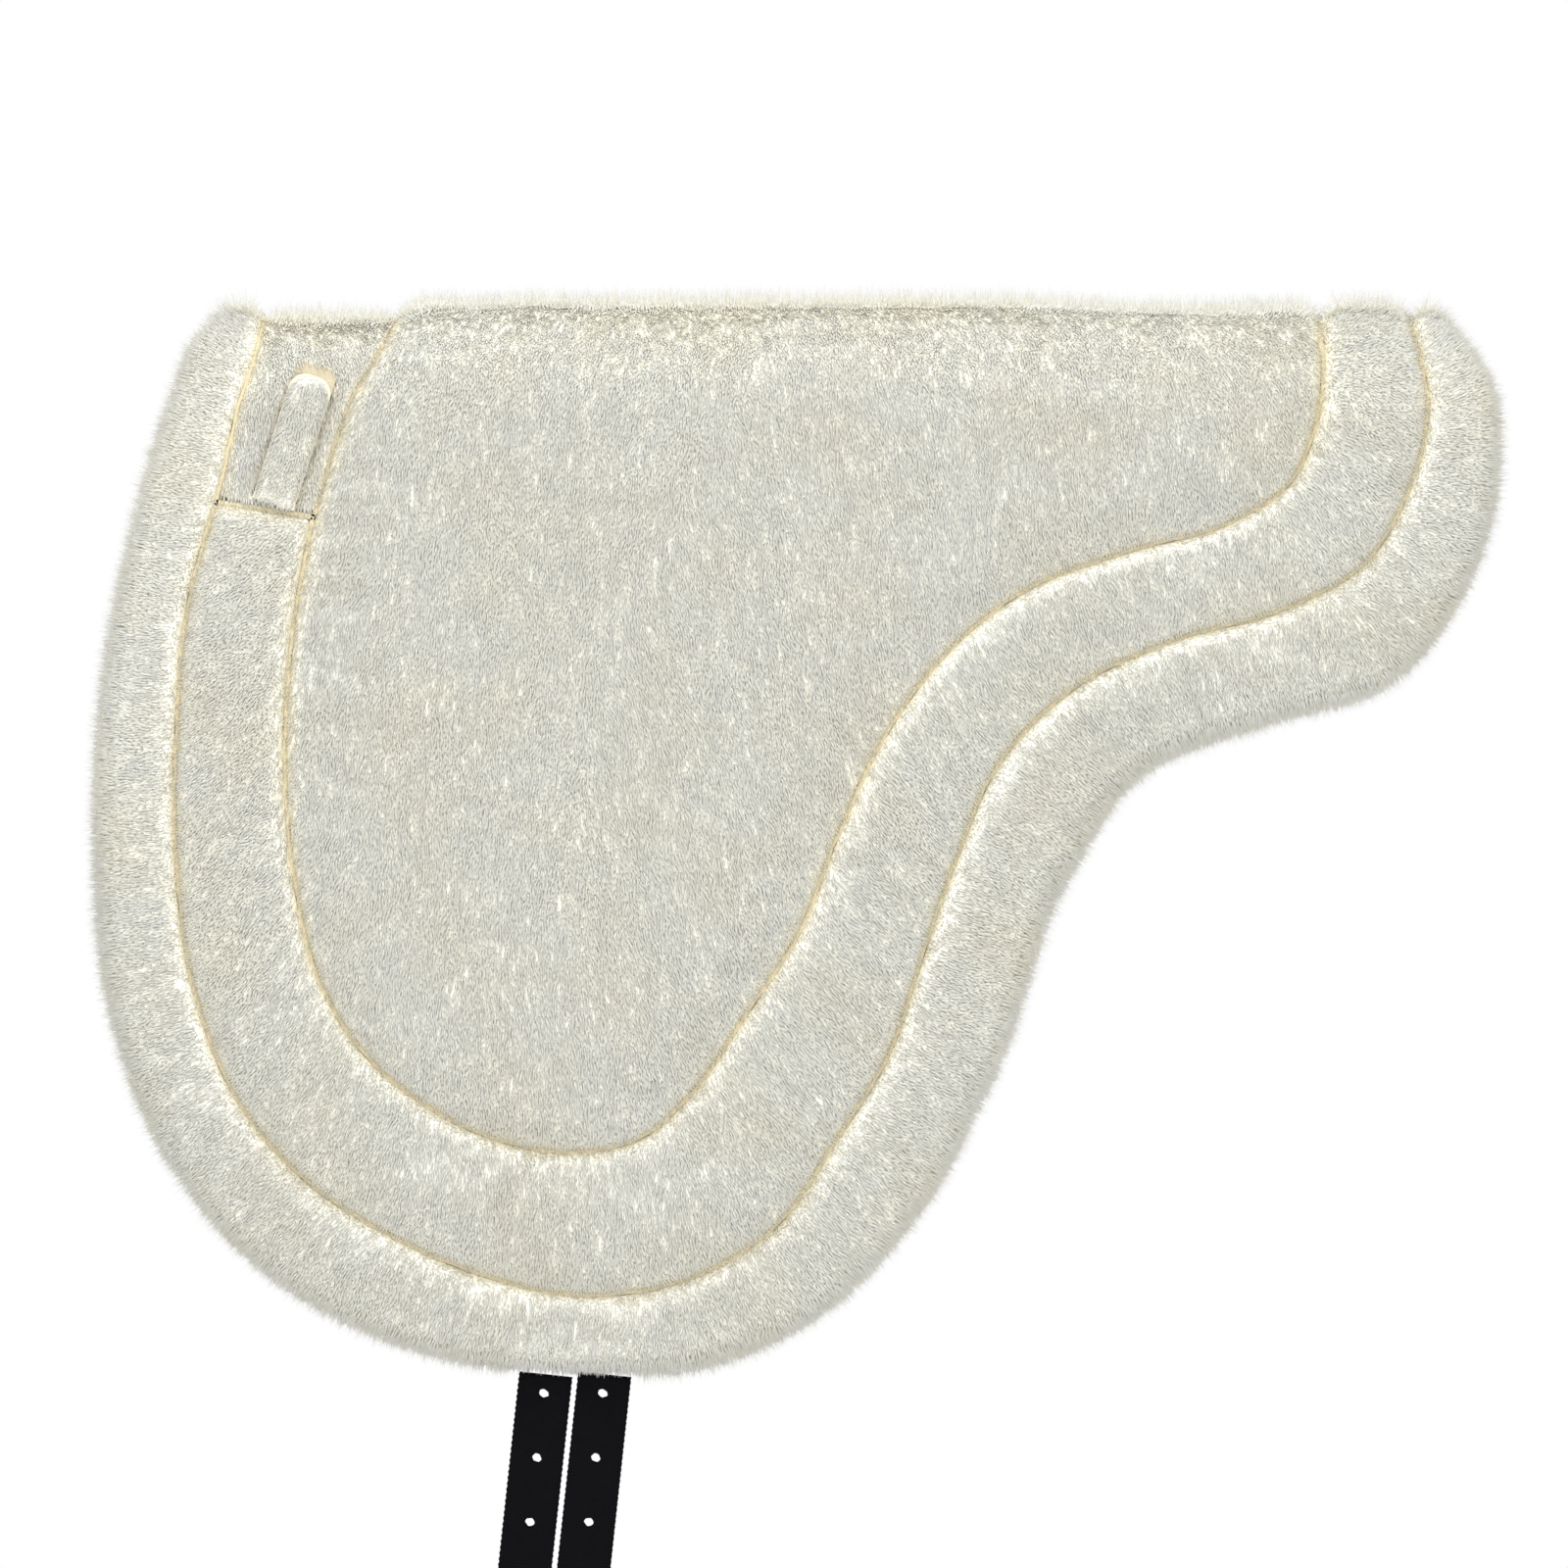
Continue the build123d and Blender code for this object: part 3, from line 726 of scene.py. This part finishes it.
for number_of, (name, (outline, outward, most)) in enumerate(channels.items()):
    flat, plan, to_seam, swollen = quilted(
        name, evened(np.concatenate([outline, outline[:1]]), 0.0035)[:-1], most)
    for side, sign in sides():
        piece = dressed(flat, plan, to_seam, swollen, outward, side, sign, 20 + 2 * number_of + sign)
        nodes = {
            "seat": ("seat_cover", "seat_foam", "spine_seat_cover", "spine_seat_foam"),
            "band": ("band_cover", "band_foam", "cantle_band_cover", "cantle_band_foam"),
            "rim": ("rim_cover", "rim_foam", "withers_rim_cover", "withers_rim_foam", "cantle_rim_cover",
                    "cantle_rim_foam"),
        }[name]
        hang(piece, side, "fleece", *(n if n.startswith(("spine", "cantle", "withers")) else f"{side}_{n}"
                                      for n in nodes))
    bpy.data.objects.remove(flat)

# ==== Wither panel ====
# Ahead of the seat the band stops at a cross seam. Above it, over the withers, lies one thickness of
# plush on the lining, without foam, so that the pad stays clear of the bone.
PANEL_LEVEL, PANEL_RISE = 0.0155, 0.0016  # it rises a little where it meets a seam
PANEL_UNDER_TAB = 0.0136  # pressed flat under the tab and its tape
TAB_WIDTH, TAB_LENGTH, TAB_LEAN = 0.020, 0.060, math.radians(18)
TAB_FOOT = (-0.139, 0.090)  # x and drop of the middle of the tab's sewn end
TAPE_SHOWS, TAPE_HALF = 0.008, 0.0068  # bare tan backing past the tab's tip, where it is fastened


def along_tab(x, drop):
    """How far a place lies up the tab's middle line from its foot, and to the side of that line."""
    dx, up = x - TAB_FOOT[0], TAB_FOOT[1] - drop
    return (dx * math.sin(TAB_LEAN) + up * math.cos(TAB_LEAN),
            dx * math.cos(TAB_LEAN) - up * math.sin(TAB_LEAN))


panel_outline = np.concatenate([outer_gap[:cross_outer - 2], inner_far[:cross_inner - 2][::-1]])
panel_outline = evened(np.concatenate([panel_outline, panel_outline[:1]]), 0.0025)[:-1]
panel_plan, panel_faces = cut_piece(panel_outline, 0.003)
panel_seam = nearest(panel_plan, seam_points)[0]
for side, sign in sides():
    x, s = panel_plan.T
    level = PANEL_LEVEL + PANEL_RISE * np.exp(-(panel_seam / 0.004) ** 2)
    drop = FOLD_OUTSIDE * (1 - np.cos(np.minimum(s, ARCH_LENGTH) / FOLD_OUTSIDE)) + np.maximum(
        s - ARCH_LENGTH, 0)
    up, aside = along_tab(x, drop)
    past_tip = up > TAB_LENGTH - 0.003
    fallen = np.where(past_tip, 0.0015, 0.0)  # the pile above falls straight down, not along the tab
    bare = (up > 0.003) & (up < TAB_LENGTH + TAPE_SHOWS + PILE_LENGTH * 0.4) & (
        np.abs(aside + fallen) < np.where(past_tip, TAPE_HALF, TAB_WIDTH * 0.42))
    pressed = (up > 0) & (up < TAB_LENGTH + TAPE_SHOWS) & (np.abs(aside) < TAB_WIDTH * 0.5)
    level = np.where(pressed, PANEL_UNDER_TAB, level)
    lying = np.clip(s / STANDING, 0, 1)
    down = lay_over(panel_plan, np.stack([0.1 * lying, lying], axis=1), level)
    piece = solid(side + "_wither_panel_plush", mirrored(folded(x, s, level), sign),
                  mirrored(folded(x, s, np.full(len(x), LINING + CLEAR)), sign), panel_faces, plush)
    paint(piece, "lay", mirrored(both_faces(down), sign))
    paint(piece, "density", np.concatenate([np.where(bare, 0.0, 1.0), np.zeros(len(x))]))
    short = (0.6 + 0.4 * np.clip(panel_seam / 0.006, 0, 1)) * crest_length(s)
    paint(piece, "length", both_faces(short))
    # Painted shade: the grooves along the tab's sides, and the bare panel under the tab, are tinted tan.
    # Past the tab's tip the bare backing is tinted with its own tan colour.
    along_tab_side = 0.8 * np.exp(-((np.abs(aside) / TAB_WIDTH - 0.5) / 0.1) ** 2)
    groove_shade = along_tab_side * (up > 0) * (up < TAB_LENGTH)
    tape_and_under_tab_shade = bare * np.where(past_tip, 1, 0.4)
    tan_shade_and_backing = np.maximum(np.exp(-(panel_seam / SEAM_SHADE) ** 2), np.maximum(groove_shade, tape_and_under_tab_shade))
    paint(piece, "backing", both_faces(tan_shade_and_backing))
    crest = np.clip(1.3 - s / CREST_HAIRS, 0, 1) * (panel_seam > HAIRLESS)
    paint(piece, "fringe", np.concatenate([crest, np.zeros(len(x))]))
    furred(piece, 40 + sign)
    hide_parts("wither_panel")
    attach(piece, "spine")

# ==== Quilting seams ====
# Each seam is a row of lockstitches in golden thread through every layer. It draws the plush down
# until its backing shows as a narrow tan line, over which the pile closes in places.
SEAM_SHOW = 0.0027  # how wide the backing shows
STITCH, THREAD = 0.0034, 0.0007


def stitch_tree():
    """Stitches end to end along a line, joined to the backing that they lie on."""
    tree = bpy.data.node_groups.new("stitches", "GeometryNodeTree")
    given, out = sockets(tree, [
        ("Geometry", "Geometry", None), ("Line", "Object", None), ("Stitch", "Float", STITCH),
        ("Thread", "Float", THREAD), ("Gap", "Float", 0.22), ("Seed", "Int", 0),
        ("Finish", "Material", None),
    ], [("Geometry", "Geometry")])
    line = node(tree, "GeometryNodeObjectInfo", {"Object": given["Line"]}).outputs["Geometry"]
    path = node(tree, "GeometryNodeMeshToCurve", {"Mesh": line}).outputs[0]
    steps = node(tree, "GeometryNodeCurveToPoints", {"Curve": path, "Length": given["Stitch"]},
                 mode="LENGTH")
    bead = node(tree, "GeometryNodeMeshUVSphere", {"Segments": 6, "Rings": 4, "Radius": 0.5}).outputs[0]
    long = number(tree, "MULTIPLY", given["Stitch"], number(tree, "SUBTRACT", 1.0, given["Gap"]))
    size = node(tree, "ShaderNodeCombineXYZ", {
        "X": given["Thread"], "Y": given["Thread"], "Z": long,
    }).outputs[0]
    ahead = node(tree, "FunctionNodeAlignRotationToVector", {"Vector": steps.outputs["Tangent"]}, axis="Z")
    wander = node(tree, "FunctionNodeRandomValue", {
        "Min": (-0.12, -0.12, -0.12), "Max": (0.12, 0.12, 0.12), "Seed": given["Seed"],
    }, data_type="FLOAT_VECTOR").outputs[0]
    turn = node(tree, "FunctionNodeEulerToRotation", {"Euler": wander}).outputs[0]
    turned = node(tree, "FunctionNodeRotateRotation", {"Rotation": ahead.outputs[0], "Rotate By": turn},
                  rotation_space="LOCAL").outputs[0]
    row = node(tree, "GeometryNodeInstanceOnPoints", {
        "Points": steps.outputs["Points"], "Instance": bead, "Rotation": turned, "Scale": size,
    }).outputs[0]
    real = node(tree, "GeometryNodeRealizeInstances", {"Geometry": row}).outputs[0]
    both = node(tree, "GeometryNodeJoinGeometry")
    tree.links.new(real, both.inputs[0])
    tree.links.new(given["Geometry"], both.inputs[0])
    done = node(tree, "GeometryNodeSetMaterial", {"Geometry": both.outputs[0], "Material": given["Finish"]})
    tree.links.new(done.outputs[0], out["Geometry"])
    return tree


STITCHES = stitch_tree()


def thread_finish():
    """Golden thread on a tan knitted backing, faintly uneven along its length."""
    made, tree, shader = new_finish("seam_thread")
    place = node(tree, "ShaderNodeTexCoord").outputs["Object"]
    tan = mixed(tree, noise(tree, place, 120.0, 3.0), (0.66, 0.57, 0.37, 1), (0.80, 0.72, 0.50, 1))
    tree.links.new(tan, shader.inputs["Base Color"])
    bumped(tree, shader, noise(tree, place, 2600.0, 1.0), 0.3, 0.0003)
    shader.inputs["Roughness"].default_value = 0.8
    shader.inputs["Specular IOR Level"].default_value = 0.25
    return made


seam_finish = thread_finish()


def strip(left, right):
    """A ribbon between two lines of the flat cut: its points, in pairs, and its triangles."""
    rows = np.stack([left, right], axis=1).reshape(-1, 2)
    return rows, [t for i in range(0, len(rows) - 3, 2) for t in ((i, i + 1, i + 3), (i, i + 3, i + 2))]


def sewn_line(name, line, sign, seed):
    """A seam as its narrow strip of backing with stitches along the middle."""
    step = np.arange(len(line))
    wobble = np.sin(step * 0.31) * 0.0003 + np.sin(step * 0.083 + 1) * 0.0004
    middle = inset(line, wobble[:, None]) if line[0, 1] == 0 else line
    aside = across(middle) * (SEAM_SHOW / 2)
    rows, faces = strip(middle + aside, middle - aside)
    rows[:, 1] = np.clip(rows[:, 1], 0, None)
    level = np.full(len(rows), SEAM_LEVEL - 0.0002)
    piece = solid(name, mirrored(folded(*rows.T, level), sign),
                  mirrored(folded(*rows.T, np.full(len(rows), LINING + 0.0004)), sign), faces)
    top = mirrored(folded(*np.clip(middle, (-1, 0), None).T, np.full(len(middle), SEAM_LEVEL)), sign)
    path_mesh = bpy.data.meshes.new("stitch_line")
    path_mesh.from_pydata(top.tolist(), [(i, i + 1) for i in range(len(top) - 1)], [])
    path = bpy.data.objects.new("stitch_line", path_mesh)
    bpy.context.collection.objects.link(path)
    grown(piece, STITCHES, Line=path, Seed=seed, Finish=seam_finish)
    bpy.data.objects.remove(path)
    return piece


cross_way = cross_ends[1] - cross_ends[0]
cross_step = cross_way / np.linalg.norm(cross_way) * SEAM_SHOW / 2
cross_run = evened(np.array([cross_ends[0] - cross_step, cross_ends[1] + cross_step]), 0.001)
for side, sign in sides():
    for name, line in (("outer_seam", outer_line), ("inner_seam", inner_line)):
        piece = sewn_line(f"{side}_{name}_line", line, sign, 60 + sign)
        hang(piece, side, "seam_thread", f"{side}_{name}", "withers_" + name, "cantle_" + name)
    piece = sewn_line(side + "_cross_seam_line", cross_run, sign, 64 + sign)
    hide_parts(side + "_cross_seam")
    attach(piece, "spine")

# ==== Girth webs ====
# Two black nylon webs run over the spine between the lining and the foam, from hem to hem. They
# carry the pull of the billets, so that the padding doesn't.
BILLET_X = (("front", -0.01365), ("rear", 0.01365))  # where each crosses the swing line
BILLET_LEAN = math.radians(6.2)
BILLET_WIDTH = 0.025
SWING_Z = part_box("near_front_billet")[1].z
web_low, web_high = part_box("near_front_web")
WEB = web_high.y - web_low.y
SPINE_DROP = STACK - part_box("spine_seat_cover")[0].z


def weave_group():
    """Webbing: cross ribs of weft under lengthwise warp yarns. The UV map runs in metres."""
    tree = bpy.data.node_groups.new("webbing_weave", "ShaderNodeTree")
    given, out = sockets(tree, [
        ("Rib", "Float", 0.0014), ("Yarn", "Float", 0.0006), ("Colour", "Color", (0.01, 0.01, 0.012, 1)),
        ("Worn Colour", "Color", (0.03, 0.03, 0.034, 1)),
    ], [("Color", "Color"), ("Height", "Float")])
    uv = node(tree, "ShaderNodeUVMap", uv_map="weave").outputs[0]
    split = node(tree, "ShaderNodeSeparateXYZ", {0: uv}).outputs
    turn = 2 * math.pi

    def wave(along, pitch):
        """A height from 0 to 1 that rises and falls once in each pitch."""
        phase = number(tree, "MULTIPLY", number(tree, "DIVIDE", along, pitch), turn)
        return number(tree, "MULTIPLY", number(tree, "ADD", number(tree, "SINE", phase), 1.0), 0.5)

    ribs, yarns = wave(split["Y"], given["Rib"]), wave(split["X"], given["Yarn"])
    height = number(tree, "ADD", number(tree, "MULTIPLY", ribs, 0.5), number(tree, "MULTIPLY", yarns, 0.5))
    place = node(tree, "ShaderNodeTexCoord").outputs["Object"]
    worn = number(tree, "MULTIPLY", noise(tree, place, 160.0, 3.0), height)
    share = number(tree, "MULTIPLY", worn, 0.8)
    tree.links.new(mixed(tree, share, given["Colour"], given["Worn Colour"]), out["Color"])
    tree.links.new(height, out["Height"])
    return tree


WEAVE = weave_group()


def webbing(name, colour, worn, yarn, rib):
    """A woven nylon finish."""
    made, tree, shader = new_finish(name)
    weave = node(tree, "ShaderNodeGroup", node_tree=WEAVE)
    for key, value in (("Colour", colour), ("Worn Colour", worn), ("Yarn", yarn), ("Rib", rib)):
        weave.inputs[key].default_value = value
    tree.links.new(weave.outputs["Color"], shader.inputs["Base Color"])
    bumped(tree, shader, weave.outputs["Height"], 0.6, 0.0002)
    shader.inputs["Roughness"].default_value = 0.75
    shader.inputs["Specular IOR Level"].default_value = 0.05
    return made


def woven(piece, rows):
    """Lays the weave along a strap. Rows are its points on the flat, for each face."""
    uv = piece.data.uv_layers.new(name="weave")
    flat = np.tile(rows, (2, 1))
    for loop in piece.data.loops:
        uv.data[loop.index].uv = flat[loop.vertex_index]


YARN, RIB = 0.0006, 0.0014  # the pitch of the warp yarns and of the weft ribs
black_webbing = webbing("black_webbing", (0.0022, 0.0022, 0.003, 1), (0.007, 0.007, 0.009, 1), YARN, RIB)
for side, sign in sides():
    for place, x_swing in BILLET_X:
        web_end = STACK - SWING_Z - 0.0016
        drops = np.concatenate([np.arange(0, SPINE_DROP, 0.004), np.arange(SPINE_DROP, web_end, 0.01)])
        x = x_swing + (STACK - SWING_Z - np.maximum(drops, SPINE_DROP)) * math.tan(BILLET_LEAN)
        s = fold_length(drops)
        rows, faces = strip(np.stack([x - BILLET_WIDTH / 2, s], axis=1),
                            np.stack([x + BILLET_WIDTH / 2, s], axis=1))
        outer = folded(*rows.T, np.full(len(rows), LINING + WEB))
        inner = folded(*rows.T, np.full(len(rows), LINING))
        piece = solid(f"{side}_{place}_girth_web", mirrored(outer, sign), mirrored(inner, sign), faces,
                      black_webbing)
        woven(piece, rows)
        hang(piece, side, "webbing", f"{side}_{place}_web", place + "_girth_web")

# ==== Wither tab ====
# A short tab of plush on tape, sewn down at the cross seam. Its tip is held to the panel by a patch
# of hook tape under it and a patch of loop tape on the panel, which shows a little past the tip.
TAB_UNDER = -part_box("near_tab_cover")[1].y  # distance of the cover's underside from the middle plane
TAB_CROWN = 0.0032
TAB_PILE_SPACING, TAB_PILE, TAB_PILE_WIDTH = 0.00105, 0.0058, 0.0016
TAB_BEND = 0.012  # the pile is worn short where the tab bends at its foot


def tab_outline():
    """The tab's edge, from its foot up one side, round the tip and down the other."""
    half, tip, foot = TAB_WIDTH / 2 - 0.0012, TAB_LENGTH - 0.0012, -0.0025
    bend = TAB_WIDTH * 0.4
    corner = [(tip - bend + bend * math.sin(a), half - bend + bend * math.cos(a))
              for a in np.linspace(0, math.pi / 2, 8)]
    edge = [(foot, half)] + corner + [(up, -aside) for up, aside in reversed(corner)] + [(foot, -half)]
    return evened(np.array(edge + edge[:1]), 0.0015)[:-1]


tab_edge = tab_outline()
tab_plan, tab_faces = cut_piece(tab_edge, 0.0018)
tab_near = nearest(tab_plan, tab_edge)[0]
for side, sign in sides():
    up, aside = tab_plan.T
    rise = TAB_CROWN * np.sqrt(1 - (1 - np.clip(tab_near / 0.005, 0, 1)) ** 2) + 0.0004
    x = TAB_FOOT[0] + up * math.sin(TAB_LEAN) + aside * math.cos(TAB_LEAN)
    z = STACK - TAB_FOOT[1] + up * math.cos(TAB_LEAN) - aside * math.sin(TAB_LEAN)
    top = np.stack([x, -(TAB_UNDER + rise), z], axis=1)
    under = np.stack([x, np.full(len(x), -TAB_UNDER - 0.0001), z], axis=1)
    piece = solid(side + "_tab_plush", mirrored(top, sign), mirrored(under, sign), tab_faces, plush)
    count = len(x)
    lay = np.tile((-math.sin(TAB_LEAN), -0.05, -math.cos(TAB_LEAN)), (count, 1))
    paint(piece, "lay", mirrored(both_faces(lay), sign))
    paint(piece, "density", np.concatenate([np.ones(count), np.zeros(count)]))
    by_foot = 0.35 + 0.65 * np.clip(up / TAB_BEND, 0, 1)
    paint(piece, "length", both_faces(by_foot))
    grown(piece, PILE, Spacing=TAB_PILE_SPACING, Length=TAB_PILE, Width=TAB_PILE_WIDTH,
          Flatness=PILE_FLATNESS, Lean=1.7, Clump_Lean=1.2, Jitter=0.12, Seed=80 + sign, Finish=plush)
    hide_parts(side + "_tab_cover")
    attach(piece, side + "_tab")


def tape_finish(name, colour, other, scale, strength):
    """Woven tape or its hooks and loops, as a close even grain."""
    made, tree, shader = new_finish(name)
    place = node(tree, "ShaderNodeTexCoord").outputs["Object"]
    grain = node(tree, "ShaderNodeTexVoronoi", {"Vector": place, "Scale": scale}).outputs["Distance"]
    shade = mixed(tree, noise(tree, place, scale / 8, 3.0), colour, other)
    tree.links.new(shade, shader.inputs["Base Color"])
    bumped(tree, shader, grain, strength, 0.0004)
    shader.inputs["Roughness"].default_value = 0.85
    shader.inputs["Sheen Weight"].default_value = 0.2
    return made


loop_tape = tape_finish("loop_tape", (0.60, 0.52, 0.36, 1), (0.68, 0.61, 0.45, 1), 1600.0, 0.7)
hook_tape = tape_finish("hook_tape", (0.62, 0.52, 0.36, 1), (0.70, 0.62, 0.46, 1), 1100.0, 0.9)
tab_tape = tape_finish("tab_tape", (0.78, 0.72, 0.56, 1), (0.84, 0.80, 0.66, 1), 2200.0, 0.4)
for side, sign in sides():
    for name, finish in (("loop_patch", loop_tape), ("tab_hook_patch", hook_tape), ("tab_web", tab_tape)):
        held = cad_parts[f"{side}_{name}"]
        held.data.materials.clear()
        held.data.materials.append(finish)

# ==== Billets ====
# The webs come out of the hem as billets for the girth buckles: plain woven nylon, punched with a
# row of holes whose edges are melted, and cut to a blunt point with a hot knife.
billet_low, billet_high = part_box("near_front_billet")
BILLET_LENGTH, BILLET_TIP = 0.246, 0.012
FIRST_HOLE, HOLE_PITCH, HOLE_COUNT, HOLE_RADIUS = 0.0085, 0.030, 8, 0.0024
SCALLOP, SCALLOP_DEPTH = 0.0027, 0.00045
RIB_DEPTH = 0.00016


def billet_plan():
    """The flat billet, along from the swing line and aside from its middle, with its holes."""
    half = BILLET_WIDTH / 2
    rows = np.arange(0, BILLET_LENGTH - BILLET_TIP, SCALLOP / 4)
    wavy = half - SCALLOP_DEPTH * (0.5 - 0.5 * np.cos(rows * 2 * math.pi / SCALLOP))
    side_edge = np.stack([rows, wavy], axis=1)
    point = np.array([(BILLET_LENGTH - BILLET_TIP, half - SCALLOP_DEPTH),
                      (BILLET_LENGTH - 0.002, half * 0.28), (BILLET_LENGTH, half * 0.12)])
    edge = np.concatenate([side_edge, point, point[::-1] * (1, -1), side_edge[::-1] * (1, -1)])
    holes = []
    for n in range(HOLE_COUNT):
        turn = np.linspace(0, 2 * math.pi, 20, endpoint=False)
        radius = HOLE_RADIUS * (1 + 0.05 * np.sin(2 * turn + n) + 0.03 * np.sin(3 * turn + 2 * n))
        middle = FIRST_HOLE + n * HOLE_PITCH
        holes.append(np.stack([middle + radius * np.cos(turn), radius * np.sin(turn)], axis=1))
    grid = np.array([(a, b) for a in np.arange(RIB / 2, BILLET_LENGTH - 0.001, RIB / 2)
                     for b in np.linspace(-half * 0.94, half * 0.94, 17)
                     if abs(b) < half * 0.94 - max(0, a - BILLET_LENGTH + BILLET_TIP) * 0.78])
    hole_middles = np.array([(FIRST_HOLE + n * HOLE_PITCH, 0.0) for n in range(HOLE_COUNT)])
    grid = grid[nearest(grid, hole_middles)[0] > HOLE_RADIUS * 1.22]
    points = np.concatenate([edge, *holes, grid])
    loops, start = [list(range(len(edge)))], len(edge)
    for ring in holes:
        loops.append(list(range(start, start + len(ring))))
        start += len(ring)
    rings = [(a, b) for loop in loops[1:] for a, b in zip(loop, loop[1:] + loop[:1])]
    made = delaunay_2d_cdt([Vector(p) for p in points], rings, [loops[0]], 1, 1e-8)
    flat = np.array([tuple(v) for v in made[0]])
    kept = [tuple(t) for t in made[2]
            if nearest(flat[list(t)].mean(axis=0)[None], hole_middles)[0][0] > HOLE_RADIUS * 0.9]
    return flat, kept, hole_middles


billet_flat, billet_faces, hole_middles = billet_plan()
from_hole = nearest(billet_flat, hole_middles)[0] - HOLE_RADIUS
melted = np.clip(np.minimum(from_hole / 0.0014, (BILLET_LENGTH - billet_flat[:, 0]) / 0.004), 0, 1)
ribbed = RIB_DEPTH * np.cos(billet_flat[:, 0] * 2 * math.pi / RIB) * melted
thin_edge = 0.0004 * np.clip(np.abs(billet_flat[:, 1]) / (BILLET_WIDTH / 2) - 0.9, 0, 1) / 0.1
lip = 0.00025 * np.exp(-(from_hole / 0.0007) ** 2)
half_thick = WEB / 2 - RIB_DEPTH + ribbed - thin_edge + lip
for side, sign in sides():
    for place, x_swing in BILLET_X:
        along, aside = billet_flat.T
        x = x_swing + aside * math.cos(BILLET_LEAN) - along * math.sin(BILLET_LEAN)
        z = SWING_Z - along * math.cos(BILLET_LEAN) - aside * math.sin(BILLET_LEAN)
        middle = (billet_low.y + billet_high.y) / 2
        outer = np.stack([x, middle - half_thick, z], axis=1)
        inner = np.stack([x, middle + half_thick, z], axis=1)
        piece = solid(f"{side}_{place}_billet_strap", mirrored(outer, sign), mirrored(inner, sign),
                      billet_faces, black_webbing)
        woven(piece, billet_flat[:, ::-1])
        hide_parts(f"{side}_{place}_billet")
        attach(piece, f"{side}_{place}_billet")
